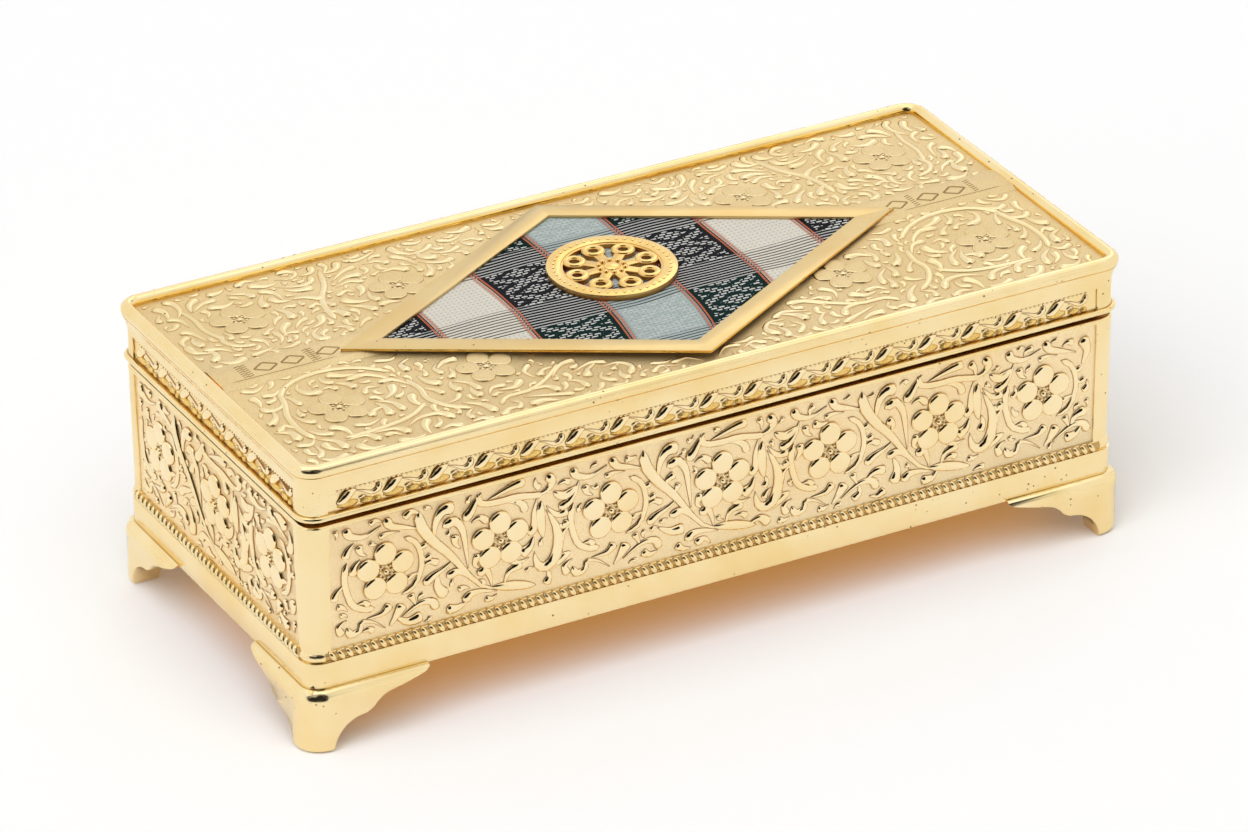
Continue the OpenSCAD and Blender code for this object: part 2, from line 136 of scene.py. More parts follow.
def coat_faces(piece: Piece, index: int, wanted: Callable[[Vector, Vector], bool]) -> None:
    """Gives some faces of a piece another of its materials.

    Args:
        piece: the mesh object.
        index: place of the material in the piece's list.
        wanted: says from a face's centre and normal whether it gets the material.
    """
    pick(piece)
    bpy.ops.object.mode_set(mode="EDIT")
    bpy.ops.mesh.select_mode(type="FACE")
    bpy.ops.mesh.select_all(action="DESELECT")
    bpy.ops.object.mode_set(mode="OBJECT")
    for face in piece.data.polygons:
        face.select = wanted(face.center, face.normal)
    bpy.ops.object.mode_set(mode="EDIT")
    piece.active_material_index = index
    bpy.ops.object.material_slot_assign()
    leave_edit()


def lay(piece: Piece, place: Matrix) -> Piece:
    """Moves a piece by a matrix and applies it, so that its place is in its mesh."""
    piece.matrix_world = place @ piece.matrix_world
    pick(piece)
    bpy.ops.object.transform_apply(location=True, rotation=True, scale=True)
    if place.determinant() < 0:
        edit_all(piece)
        bpy.ops.mesh.normals_make_consistent(inside=False)
        leave_edit()
    return piece


def copy_of(piece: Piece, name: str, place: Matrix | None = None) -> Piece:
    """Copies a piece with a mesh of its own, and lays the copy if a place is given."""
    pick(piece)
    bpy.ops.object.duplicate(linked=False)
    made = take_new(name)
    return lay(made, place) if place is not None else made


def ring_of(piece: Piece, count: int, first: int = 0, place: Matrix = Matrix.Identity(4)) -> list[Piece]:
    """Copies a piece round the Z axis at even steps.

    Args:
        piece: the piece, which stands at place 0 of the ring.
        count: how many places the ring has.
        first: the first place that gets a copy.
        place: what moves the ring afterwards.

    Returns:
        The copies.
    """
    return [copy_of(piece, piece.name, place @ turn(index * 360 / count))
            for index in range(first, count)]


def join(pieces: Sequence[Piece], name: str) -> Piece:
    """Joins pieces into the first of them."""
    clear_selection()
    for piece in pieces:
        piece.select_set(True)
    bpy.context.view_layer.objects.active = pieces[0]
    if len(pieces) > 1:
        bpy.ops.object.join()
    return take_new(name)


def modify(piece: Piece, kind: str, **settings: object) -> None:
    """Adds a modifier with these settings and applies it."""
    pick(piece)
    bpy.ops.object.modifier_add(type=kind)
    modifier = piece.modifiers[-1]
    for key, value in settings.items():
        setattr(modifier, key, value)
    bpy.ops.object.modifier_apply(modifier=modifier.name)


def smooth(piece: Piece, degrees: float = 40) -> None:
    """Shades a piece smooth across edges flatter than an angle."""
    pick(piece)
    bpy.ops.object.shade_smooth_by_angle(angle=math.radians(degrees))


def mark_rise(piece: Piece, base: float = 0.0) -> None:
    """Stores how far each point stands over the flat, in millimetres, for the finish to read.

    Args:
        piece: the relief, still on the flat.
        base: height of the flat.
    """
    rises = [point.co.z / MM - base for point in piece.data.vertices]
    layer = piece.data.attributes.new("rise", "FLOAT", "POINT")
    layer.data.foreach_set("value", rises)


def row_of(piece: Piece, count: int, step: float) -> None:
    """Repeats a piece in a straight row along X, each copy a step in millimetres on."""
    modify(piece, "ARRAY", count=count, use_relative_offset=False, use_constant_offset=True,
           constant_offset_displace=Vector((step * MM, 0, 0)))


def swept(name: str, lines: Sequence[Sequence[Knot]], sides: int) -> Piece:
    """Sweeps a round section along lines and makes them one mesh.

    Args:
        name: the piece's name.
        lines: each a row of knots, which hold x, y, z and the section's radius in millimetres.
        sides: bevel resolution of the curve that carries the section.

    Returns:
        The mesh, with capped ends.
    """
    piece = add_new(name, bpy.ops.curve.primitive_bezier_curve_add)
    curve = piece.data
    curve.splines.clear()
    curve.dimensions = "3D"
    curve.bevel_depth = MM
    curve.bevel_resolution = sides
    curve.use_fill_caps = True
    for line in lines:
        spline = curve.splines.new("POLY")
        spline.points.add(len(line) - 1)
        for point, (x, y, z, radius) in zip(spline.points, line):
            point.co = (x * MM, y * MM, z * MM, 1.0)
            point.radius = radius
    bpy.ops.object.convert(target="MESH")
    return piece


def shift(x: float, y: float, z: float) -> Matrix:
    """Translation by a distance in millimetres."""
    return Matrix.Translation(Vector((x, y, z)) * MM)


def turn(degrees: float, axis: str = "Z") -> Matrix:
    """Rotation about an axis of the frame."""
    return Matrix.Rotation(math.radians(degrees), 4, axis)


# ---------------------------------------------------------------------------------------------
# Shader groups shared by the finishes
# ---------------------------------------------------------------------------------------------
class NodeSheet:
    """Short ways to add and link the nodes of one tree."""

    def __init__(self, tree: bpy.types.NodeTree) -> None:
        """Works on a tree that is empty or new."""
        self.tree = tree

    def add(self, kind: str, **settings: object) -> Node:
        """Adds a node.

        Args:
            kind: the node's type name without its ShaderNode prefix.
            settings: attributes of the node, or values of inputs under their names.

        Returns:
            The new node.
        """
        prefix = "" if kind.startswith("NodeGroup") else "ShaderNode"
        node = self.tree.nodes.new(prefix + kind)
        for key, value in settings.items():
            if hasattr(node, key):
                setattr(node, key, value)
            else:
                self.fit(node, **{key: value})
        return node

    def feed(self, node: Node, key: str | int, value: object) -> None:
        """Links an output to an input of a node, or sets the input; a colour needs no alpha."""
        socket = node.inputs[key]
        if isinstance(value, Socket):
            self.tree.links.new(value, socket)
        elif socket.type == "RGBA" and len(value) == 3:
            socket.default_value = (*value, 1.0)
        else:
            socket.default_value = value

    def fit(self, node: Node, **values: object) -> None:
        """Feeds inputs of a node under their names, with _ for a space."""
        for key, value in values.items():
            self.feed(node, key.replace("_", " "), value)

    def math(self, operation: str, *values: object) -> Socket:
        """Adds a Math node and returns its value."""
        node = self.add("Math", operation=operation)
        for index, value in enumerate(values):
            self.feed(node, index, value)
        return node.outputs[0]

    def times(self, *values: object) -> Socket:
        """Multiplies values."""
        product = values[0]
        for value in values[1:]:
            product = self.math("MULTIPLY", product, value)
        return product

    def scale_add(self, value: object, by: object, plus: object) -> Socket:
        """Multiplies a value and adds to it."""
        return self.math("MULTIPLY_ADD", value, by, plus)

    def inverse(self, value: object) -> Socket:
        """Takes a value from 1."""
        return self.math("SUBTRACT", 1.0, value)

    def stripes(self, value: object, period: float, share: float) -> Socket:
        """Gives 1 over the first share of every period of a value, and 0 over the rest."""
        return self.math("LESS_THAN", self.math("FRACT", self.math("DIVIDE", value, period)), share)

    def vector(self, operation: str, a: object, b: object) -> Socket:
        """Adds a Vector Math node and returns its vector."""
        node = self.add("VectorMath", operation=operation)
        self.feed(node, 0, a)
        self.feed(node, 1, b)
        return node.outputs[0]

    def noise(self, place: object, scale: float, detail: float, rough: float = 0.5) -> Socket:
        """Adds smooth noise and returns its factor."""
        node = self.add("TexNoise", Scale=scale, Detail=detail, Roughness=rough, Vector=place)
        return node.outputs["Fac"]

    def mix(self, factor: object, a: object, b: object, blend: str = "MIX") -> Socket:
        """Mixes two colours."""
        node = self.add("Mix", data_type="RGBA", blend_type=blend)
        self.feed(node, 0, factor)
        self.feed(node, 6, a)
        self.feed(node, 7, b)
        return node.outputs[2]

    def step(self, value: object, low: float, high: float) -> Socket:
        """Rises smoothly from 0 to 1 as a value goes from low to high."""
        node = self.add("MapRange", interpolation_type="SMOOTHSTEP", Value=value, From_Min=low,
                        From_Max=high)
        return node.outputs[0]

    def ramp(self, value: object, stops: Sequence[tuple[float, Colour]]) -> Socket:
        """Looks a value up in a row of colours that change sharply."""
        node = self.add("ValToRGB")
        band = node.color_ramp
        band.interpolation = "CONSTANT"
        while len(band.elements) > 1:
            band.elements.remove(band.elements[-1])
        for index, (place, colour) in enumerate(stops):
            stop = band.elements[0] if index == 0 else band.elements.new(place)
            stop.position = place
            stop.color = (*colour, 1.0)
        self.feed(node, 0, value)
        return node.outputs[0]

    def bands(self, value: object, first: int, *changes: float) -> Socket:
        """Gives first, which is 0 or 1, up to the first change, and turns over at every change."""
        return self.ramp(value, [(place, ((first + index) % 2,) * 3)
                                 for index, place in enumerate((0.0, *changes))])


class SharedGroup:
    """A shader node group that is built once, the first time that a material asks for it."""

    made: dict[str, bpy.types.NodeTree] = {}

    def __init__(self, name: str, inputs: Sequence[tuple[str, str, object]],
                 outputs: Sequence[tuple[str, str]],
                 fill: Callable[[NodeSheet, Node, Node], None]) -> None:
        """Says what the group is called, takes and gives, and which function fills it."""
        self.name, self.inputs, self.outputs, self.fill = name, inputs, outputs, fill

    def tree(self) -> bpy.types.NodeTree:
        """Returns the group's tree, and builds it first if need be."""
        if self.name not in SharedGroup.made:
            tree = bpy.data.node_groups.new(self.name, "ShaderNodeTree")
            for name, kind, value in self.inputs:
                socket = tree.interface.new_socket(name, in_out="INPUT", socket_type=kind)
                if value is not None:
                    socket.default_value = value
            for name, kind in self.outputs:
                tree.interface.new_socket(name, in_out="OUTPUT", socket_type=kind)
            sheet = NodeSheet(tree)
            self.fill(sheet, sheet.add("NodeGroupInput"), sheet.add("NodeGroupOutput"))
            SharedGroup.made[self.name] = tree
        return SharedGroup.made[self.name]

    def use(self, sheet: NodeSheet, **values: object) -> Node:
        """Places the group in a material with its own values."""
        node = sheet.add("Group")
        node.node_tree = self.tree()
        sheet.fit(node, **values)
        return node


FLOAT, COLOUR, VECTOR = "NodeSocketFloat", "NodeSocketColor", "NodeSocketVector"


def fill_plating(sheet: NodeSheet, given: Node, result: Node) -> None:
    """Cloudy tone of thin plating, with tiny dark pits and faint hairline scratches."""
    place = given.outputs["Place"]
    tone = sheet.step(sheet.noise(place, 55.0, 3.0, 0.55), 0.32, 0.72)
    colour = sheet.mix(tone, given.outputs["Pale"], given.outputs["Deep"])
    cells = sheet.add("TexVoronoi", Scale=700.0, Vector=place)
    apart = sheet.add("SeparateColor", Color=cells.outputs["Color"])
    rare = sheet.math("GREATER_THAN", apart.outputs[0], given.outputs["Clean"])
    small = sheet.inverse(sheet.step(cells.outputs["Distance"], 0.10, 0.22))
    near = sheet.step(sheet.noise(place, 38.0, 1.0), 0.47, 0.57)
    pits = sheet.times(rare, small, near)
    lines = 0.0
    for angle, long_scale in ((0.5, 14.0), (-0.9, 19.0)):
        mapped = sheet.add("Mapping", Vector=place, Rotation=(angle, angle * 0.6, angle),
                           Scale=(long_scale, 900.0, 900.0))
        hair = sheet.noise(mapped.outputs[0], 1.0, 0.0)
        off = sheet.math("ABSOLUTE", sheet.math("SUBTRACT", hair, 0.5))
        lines = sheet.math("MAXIMUM", lines, sheet.inverse(sheet.step(off, 0.0, 0.004)))
    scratch = sheet.times(lines, given.outputs["Scratches"])
    dark = sheet.mix(0.85, colour, (0.10, 0.05, 0.02))
    rough = sheet.scale_add(pits, 0.4, sheet.scale_add(tone, 0.06, given.outputs["Gloss"]))
    wave = sheet.noise(place, 160.0, 1.0)
    height = sheet.scale_add(wave, given.outputs["Ripple"], sheet.times(pits, -1.0))
    sheet.fit(result, Color=sheet.mix(pits, colour, dark),
              Roughness=sheet.scale_add(scratch, 0.15, rough),
              Height=sheet.scale_add(scratch, -0.35, height))


PLATING = SharedGroup(
    "plating",
    [("Place", VECTOR, None), ("Pale", COLOUR, (0.9, 0.7, 0.4, 1)), ("Deep", COLOUR, (0.8, 0.5, 0.2, 1)),
     ("Gloss", FLOAT, 0.15), ("Clean", FLOAT, 0.93), ("Scratches", FLOAT, 0.5), ("Ripple", FLOAT, 1.0)],
    [("Color", COLOUR), ("Roughness", FLOAT), ("Height", FLOAT)], fill_plating)


def fill_grains(sheet: NodeSheet, given: Node, result: Node) -> None:
    """Punched grains of a matt ground, with a mask of the hollows between them that carries painted shade.
    """
    place = given.outputs["Place"]
    grains = sheet.add("TexVoronoi", Scale=given.outputs["Scale"], Vector=place)
    round_top = sheet.inverse(sheet.step(grains.outputs["Distance"], 0.05, 0.75))
    sheet.fit(result, Height=sheet.scale_add(sheet.noise(place, 4200.0, 2.0), 0.35, round_top),
              Hollow=sheet.inverse(round_top))


GRAINS = SharedGroup("grains", [("Place", VECTOR, None), ("Scale", FLOAT, 3400.0)],
                     [("Height", FLOAT), ("Hollow", FLOAT)], fill_grains)


# ---------------------------------------------------------------------------------------------
# Finishes
# ---------------------------------------------------------------------------------------------
class Finish:
    """A material that is built once, the first time that a piece asks for it."""

    name: str
    made: ClassVar[dict[str, Material]] = {}

    def material(self) -> Material:
        """Returns the material, and builds it first if need be."""
        if self.name not in Finish.made:
            material = bpy.data.materials.new(self.name)
            material.use_nodes = True
            material.node_tree.nodes.clear()
            sheet = NodeSheet(material.node_tree)
            shader = sheet.add("BsdfPrincipled")
            sheet.add("OutputMaterial", Surface=shader.outputs[0])
            self.fill(sheet, shader, sheet.add("TexCoord").outputs["Object"])
            Finish.made[self.name] = material
        return Finish.made[self.name]

    def fill(self, sheet: NodeSheet, shader: Node, place: Socket) -> None:
        """Adds the finish's own nodes.

        Args:
            sheet: the material's nodes.
            shader: its Principled BSDF.
            place: the Object coordinates.
        """
        raise NotImplementedError


def bump(sheet: NodeSheet, shader: Node, height: object, depth: float, strength: float = 1.0) -> None:
    """Feeds a height, whose full range stands for a depth in millimetres, to the normal."""
    node = sheet.add("Bump", Strength=strength, Distance=depth * MM, Height=height)
    sheet.fit(shader, Normal=node.outputs[0])


@dataclass(frozen=True)
class PolishedPlate(Finish):
    """Bright plating over smooth metal, with painted shade at the foot of a relief if a crease shade colour
    is given.
    """

    name: str
    pale: Colour
    deep: Colour
    gloss: float = 0.14
    clean: float = 0.93            # share of the metal that has no pits
    scratches: float = 0.5
    ripple: float = 1.0
    depth: float = 0.03            # depth of the ripple and the pits
    # colour of the painted shade at the foot of a relief
    crease_shade: Colour | None = None
    crease_shade_top: float = 0.28       # height over the flat at which the painted crease shade has gone

    def fill(self, sheet: NodeSheet, shader: Node, place: Socket) -> None:
        """Adds the plating, and the painted crease shade if there is one."""
        group = PLATING.use(sheet, Place=place, Pale=self.pale, Deep=self.deep, Gloss=self.gloss,
                            Clean=self.clean, Scratches=self.scratches, Ripple=self.ripple)
        colour, rough = group.outputs["Color"], group.outputs["Roughness"]
        # painted shade: the relief is darkened near the flat, where it meets the ground
        if self.crease_shade:
            rise = sheet.add("Attribute", attribute_name="rise").outputs["Fac"]
            foot = sheet.inverse(sheet.step(rise, 0.04, self.crease_shade_top))
            colour = sheet.mix(sheet.times(foot, 0.9), colour, self.crease_shade)
            rough = sheet.scale_add(foot, 0.25, rough)
        sheet.fit(shader, Base_Color=colour, Roughness=rough, Metallic=1.0)
        bump(sheet, shader, group.outputs["Height"], self.depth)


@dataclass(frozen=True)
class GrainedPlate(Finish):
    """Matt granulated ground between the relief, with painted shade in the hollows between its grains."""

    name: str
    pale: Colour
    deep: Colour
    # colour of the painted shade in the hollows between the grains
    hollow: Colour
    gloss: float = 0.36
    grains: float = 3400.0         # grains to the metre
    depth: float = 0.035

    def fill(self, sheet: NodeSheet, shader: Node, place: Socket) -> None:
        """Adds the plating and the grains on it, and paints shade into the hollows between the grains."""
        plate = PLATING.use(sheet, Place=place, Pale=self.pale, Deep=self.deep, Gloss=self.gloss,
                            Clean=0.985, Scratches=0.0, Ripple=0.3)
        grain = GRAINS.use(sheet, Place=place, Scale=self.grains)
        # painted shade: the hollows between the grains take the third colour
        shade = sheet.times(grain.outputs["Hollow"], 0.75)
        sheet.fit(shader, Base_Color=sheet.mix(shade, plate.outputs["Color"], self.hollow),
                  Roughness=plate.outputs["Roughness"], Metallic=1.0)
        bump(sheet, shader, grain.outputs["Height"], self.depth)


@dataclass(frozen=True)
class Velvet(Finish):
    """Short wine-red pile."""

    name: str = "wine_velvet"
    pile: Colour = (0.16, 0.010, 0.022)
    crushed: Colour = (0.215, 0.018, 0.036)
    sheen: Colour = (1.0, 0.45, 0.5)

    def fill(self, sheet: NodeSheet, shader: Node, place: Socket) -> None:
        """Adds the pile, which lies crushed in patches."""
        nap = sheet.noise(place, 42.0, 4.0, 0.6)
        fibres = sheet.noise(place, 5200.0, 2.0)
        colour = sheet.mix(sheet.step(nap, 0.42, 0.66), self.pile, self.crushed)
        speck = sheet.scale_add(fibres, 0.9, 0.55)
        sheet.fit(shader, Base_Color=sheet.mix(1.0, colour, speck, "MULTIPLY"), Roughness=0.92,
                  Sheen_Weight=0.75, Sheen_Roughness=0.35, Sheen_Tint=self.sheen)
        bump(sheet, shader, sheet.scale_add(nap, 2.5, fibres), 0.10, 0.7)


@dataclass(frozen=True)
class GreyBoard(Finish):
    """Uncoated pulp board."""

    name: str = "grey_board"
    pale: Colour = (0.50, 0.42, 0.31)
    fleck: Colour = (0.22, 0.17, 0.12)

    def fill(self, sheet: NodeSheet, shader: Node, place: Socket) -> None:
        """Adds the pulp and its flecks."""
        pulp = sheet.noise(place, 900.0, 5.0)
        sheet.fit(shader, Base_Color=sheet.mix(sheet.step(pulp, 0.58, 0.68), self.pale, self.fleck),
                  Roughness=0.85)
        bump(sheet, shader, pulp, 0.06)


@dataclass(frozen=True)
class PaleFloor(Finish):
    """Matt floor of the studio."""

    name: str = "pale_floor"
    tone: Colour = (0.95, 0.95, 0.95)

    def fill(self, sheet: NodeSheet, shader: Node, place: Socket) -> None:
        """Sets one plain tone."""
        sheet.fit(shader, Base_Color=self.tone, Roughness=0.9, Specular_IOR_Level=0.1)


@dataclass(frozen=True)
class Plaid(Finish):
    """Woven plaid: light and dark columns between orange pairs, crossed by pinstriped rows.

    Lengths are millimetres on the cloth, measured from the middle of the lid.  A pattern that
    repeats is given by its period and by the share of it that is covered.
    """

    name: str = "woven_plaid"
    column: float = 18.6
    first_line: float = -45.9
    row_period: float = 50.6
    row_start: float = -11.6
    thread: float = 0.36
    waver: Triple = (0.0022, 0.0030, 0.0)    # how far the threads stray, in metres
    bow: float = 0.0042            # how fast the columns swing aside towards the front
    pin: Point = (1.15, 0.36)
    dash: Point = (1.85, 0.74)
    dash_row: Point = (0.95, 0.50)
    dot: Point = (1.1, 0.45)
    dot_row: Point = (1.25, 0.30)
    twist: Point = (0.95, 0.62)
    cream: Colour = (0.83, 0.775, 0.665)
    mist: Colour = (0.47, 0.545, 0.525)
    coal: Colour = (0.012, 0.013, 0.016)
    pine: Colour = (0.003, 0.022, 0.019)
    chalk: Colour = (0.80, 0.80, 0.76)
    orange: Colour = (0.72, 0.20, 0.10)

    def fill(self, sheet: NodeSheet, shader: Node, place: Socket) -> None:
        """Adds the squares, the drawn threads over them, and the weave over all."""
        sway = sheet.add("TexNoise", Scale=42.0, Detail=1.0, Vector=place)
        push = sheet.vector("SUBTRACT", sway.outputs["Color"], (0.5, 0.5, 0.5))
        moved = sheet.vector("ADD", place, sheet.vector("MULTIPLY", push, self.waver))
        across = sheet.add("SeparateXYZ", Vector=sheet.vector("MULTIPLY", moved, (1 / MM,) * 3))
        y = across.outputs[1]
        front = sheet.math("MINIMUM", y, 0.0)
        x = sheet.math("ADD", across.outputs[0], sheet.times(front, front, self.bow))
        column = sheet.math("DIVIDE", sheet.math("SUBTRACT", x, self.first_line), self.column)
        row = sheet.math("FRACT", sheet.math("DIVIDE", sheet.math("SUBTRACT", y, self.row_start),
                                             self.row_period))
        in_column = sheet.math("FRACT", column)
        four = sheet.math("FRACT", sheet.math("DIVIDE", column, 4.0))
        light = sheet.ramp(four, [(0.0, self.cream), (0.25, self.coal), (0.5, self.mist),
                                  (0.75, self.coal)])
        is_dark = sheet.bands(four, 0, 0.25, 0.5, 0.75)
        pinned = sheet.bands(row, 1, 0.21, 0.54, 0.685)
        dark_row = sheet.mix(sheet.bands(row, 0, 0.685), light, self.pine)
        ground = sheet.mix(is_dark, light, dark_row)
        pins = sheet.times(sheet.stripes(y, *self.pin), pinned, sheet.scale_add(is_dark, -0.18, 0.92))
        dashes = self.dashes(sheet, x, y, in_column, row)
        dashes = sheet.times(dashes, sheet.scale_add(is_dark, 0.40, 0.52), sheet.inverse(pinned))
        dots = sheet.times(sheet.stripes(x, *self.dot), sheet.stripes(y, *self.dot_row),
                           sheet.inverse(sheet.math("MAXIMUM", is_dark, pinned)), 0.32)
        pair, beside = self.side_lines(sheet, in_column, y)
        for weight, colour in ((pins, sheet.mix(is_dark, self.coal, self.chalk)), (dashes, self.chalk),
                               (dots, self.coal), (beside, self.coal), (pair, self.orange)):
            ground = sheet.mix(weight, ground, colour)
        warp, weft = (sheet.math("SINE", sheet.times(way, 2 * math.pi / self.thread)) for way in (x, y))
        over = sheet.times(warp, weft)
        hair = sheet.noise(place, 2400.0, 3.0)
        shade = sheet.times(sheet.scale_add(over, 0.21, 0.90), sheet.scale_add(hair, 0.4, 0.82))
        sheet.fit(shader, Base_Color=sheet.mix(1.0, ground, shade, "MULTIPLY"), Roughness=0.9,
                  Specular_IOR_Level=0.12)
        bump(sheet, shader, sheet.scale_add(hair, 0.6, over), 0.05, 0.8)

    def dashes(self, sheet: NodeSheet, x: object, y: object, in_column: object, row: object) -> Socket:
        """Masks the white floats of weft, which draw stepped lozenges."""
        line = sheet.math("FLOOR", sheet.math("DIVIDE", y, self.dash_row[0]))
        along = sheet.math("ADD", sheet.math("DIVIDE", x, self.dash[0]), sheet.times(line, 0.5))
        dash = sheet.stripes(along, 1.0, self.dash[1])
        from_side = sheet.math("ABSOLUTE", sheet.math("SUBTRACT", in_column, 0.5))
        middle = sheet.math("PINGPONG", sheet.times(row, 6.0), 0.5)
        motif = sheet.stripes(sheet.times(sheet.math("ADD", from_side, middle), 2.6), 1.0, 0.62)
        edge = sheet.math("LESS_THAN", from_side, 0.40)
        return sheet.times(dash, sheet.stripes(y, *self.dash_row), motif, edge)

    def side_lines(self, sheet: NodeSheet, in_column: object, y: object) -> tuple[object, object]:
        """Masks the twisted orange pairs, and the dark lines beside them."""
        off = sheet.times(sheet.math("PINGPONG", in_column, 0.5), self.column)
        orange = sheet.times(sheet.math("GREATER_THAN", off, 0.30), sheet.math("LESS_THAN", off, 0.80),
                             sheet.scale_add(sheet.stripes(y, *self.twist), 0.35, 0.5))
        return orange, sheet.times(sheet.math("LESS_THAN", off, 1.1), 0.3)


BRIGHT = PolishedPlate("bright_plate", (0.945, 0.765, 0.435), (0.91, 0.69, 0.32), clean=0.78)
# Dark bronze for faces that lie in shade: painted shade on the collar, the rod behind the rope and the
# lid's underside.
PAINTED_SHADE_PLATE = PolishedPlate("painted_shade_plate", (0.60, 0.38, 0.14), (0.50, 0.30, 0.10), gloss=0.22)
# Saturated orange on the roll's inner flanks and the frame's outer edge: painted reflection of the grained
# ground that they face.
FLANK_REFLECTION_PLATE = PolishedPlate("flank_reflection_plate", (0.98, 0.68, 0.21), (0.93, 0.56, 0.12), gloss=0.12)
# Dark brown on the underside: painted shade.
DARK_PLATE = PolishedPlate("underside_shade_plate", (0.28, 0.095, 0.03), (0.20, 0.06, 0.02), gloss=0.3)
# The crease colour given to a relief plate is painted shade at the foot of the relief.
CREST = PolishedPlate("relief_plate", (0.97, 0.80, 0.495), (0.94, 0.735, 0.395), gloss=0.07,
                      clean=0.985, scratches=0.0, ripple=1.0, crease_shade=(0.30, 0.12, 0.03))
SATIN_CREST = PolishedPlate("field_relief_plate", (0.88, 0.725, 0.43), (0.85, 0.68, 0.365),
                            gloss=0.24, clean=0.985, scratches=0.0, ripple=1.6,
                            crease_shade=(0.62, 0.41, 0.18), crease_shade_top=0.2)
FRAME_PLATE = PolishedPlate("frame_plate", (0.77, 0.57, 0.255), (0.74, 0.525, 0.215), gloss=0.30,
                            scratches=0.9, ripple=0.4)
# Dark brown for the engraved lines: painted shade of the grooves, laid on low raised lines.
GROOVE_SHADE_PLATE = PolishedPlate("groove_shade_plate", (0.34, 0.22, 0.08), (0.27, 0.165, 0.055), gloss=0.34,
                         scratches=0.0)
# On the medallion the painted crease shade reaches 1.5 mm up from the band.
MEDAL_PLATE = PolishedPlate("medallion_plate", (0.95, 0.69, 0.28), (0.90, 0.58, 0.17), gloss=0.15,
                            crease_shade=(0.42, 0.15, 0.02), crease_shade_top=1.5)
# The third colour of each grained plate is painted shade in its grain hollows.
GROUND = GrainedPlate("grained_plate", (1.0, 0.86, 0.55), (1.0, 0.82, 0.49), (0.91, 0.67, 0.37),
                      gloss=0.40, depth=0.028)
SATIN_GROUND = GrainedPlate("field_ground_plate", (0.845, 0.70, 0.41), (0.815, 0.66, 0.37),
                            (0.705, 0.53, 0.27), gloss=0.55, depth=0.02)
# Saturated orange, deepest in the grain hollows: painted reflection of light bounced between the lobes.
SEEDED = GrainedPlate("seeded_plate", (1.0, 0.83, 0.37), (1.0, 0.78, 0.28), (0.78, 0.43, 0.08),
                      gloss=0.30, grains=2300.0, depth=0.06)
STEEL = PolishedPlate("bright_steel", (0.72, 0.72, 0.74), (0.52, 0.52, 0.55), gloss=0.26, clean=0.9,
                      scratches=1.0, ripple=0.4, depth=0.02)
VELVET, BOARD, PLAID, FLOOR = Velvet(), GreyBoard(), Plaid(), PaleFloor()


# ---------------------------------------------------------------------------------------------
# Relief drawing
# ---------------------------------------------------------------------------------------------
class Form(Enum):
    """How a raised stroke swells along its length."""

    VINE = "even, with round ends"
    COMMA = "full round head that runs out into a thin tail"
    LEAF = "pointed at both ends and full in the middle"


@dataclass(frozen=True)
class Stroke:
    """One raised stroke, through a few points, with its greatest width."""

    points: tuple[Point, ...]
    width: float = 1.3
    form: Form = Form.COMMA

    def moved(self, dx: float, dy: float = 0.0, flip: bool = False) -> "Stroke":
        """Returns the stroke moved, and first mirrored left to right if flip is set."""
        sign = -1 if flip else 1
        return Stroke(tuple((sign * x + dx, y + dy) for x, y in self.points), self.width, self.form)

    def inside(self, half_x: float, half_y: float) -> bool:
        """Says whether all its points lie in a rectangle about the origin."""
        return all(abs(x) <= half_x and abs(y) <= half_y for x, y in self.points)

    def at(self, t: float) -> Point:
        """Returns the point at a share t of the way along a smooth line through the points."""
        last = len(self.points) - 1
        index = min(int(t * last), last - 1)
        local = t * last - index
        a, b, c, d = (self.points[max(0, min(last, index + k))] for k in (-1, 0, 1, 2))
        return tuple(
            0.5 * (2 * b[i] + (c[i] - a[i]) * local
                   + (2 * a[i] - 5 * b[i] + 4 * c[i] - d[i]) * local ** 2
                   + (3 * b[i] - a[i] - 3 * c[i] + d[i]) * local ** 3) for i in (0, 1))

    def half_width(self, t: float) -> float:
        """Returns half the width at a share t of the way along."""
        if self.form is Form.VINE:
            swell = min(1.0, math.sqrt(t / 0.08), math.sqrt((1 - t) / 0.08))
        elif self.form is Form.LEAF:
            swell = math.sin(math.pi * t) ** 0.75
        else:
            swell = min(1.0, math.sqrt(t / 0.14)) * (1 - 0.86 * t ** 1.25)
        return 0.5 * self.width * max(swell, 0.06)


def draw_strokes(*rows: tuple[float | Point | Form, ...]) -> tuple[Stroke, ...]:
    """Makes strokes of rows, which hold a width, the points, and the form if it isn't a comma."""
    strokes = []
    for width, *points in rows:
        form = points.pop() if isinstance(points[-1], Form) else Form.COMMA
        strokes.append(Stroke(tuple(points), width, form))
    return tuple(strokes)


@dataclass(frozen=True)
class Ground:
    """A rectangle of ground with the flowers on it and the part of it that stays plain."""

    low: Point
    high: Point
    flowers: tuple[Point, ...]
    plain: Callable[[float, float], bool] = lambda x, y: False
    flower_r: float = 6.9

    def nearest(self, x: float, y: float) -> Point:
        """Returns the flower nearest to a place."""
        return min(self.flowers, key=lambda flower: math.hypot(x - flower[0], y - flower[1]))

    def bare(self, x: float, y: float, reach: float) -> bool:
        """Says whether a round spot lies on the ground and clear of the flowers."""
        if not (self.low[0] < x - reach and x + reach < self.high[0]):
            return False
        if not (self.low[1] < y - reach and y + reach < self.high[1]) or self.plain(x, y):
            return False
        flower = self.nearest(x, y)
        return math.hypot(x - flower[0], y - flower[1]) > self.flower_r + reach * 0.5


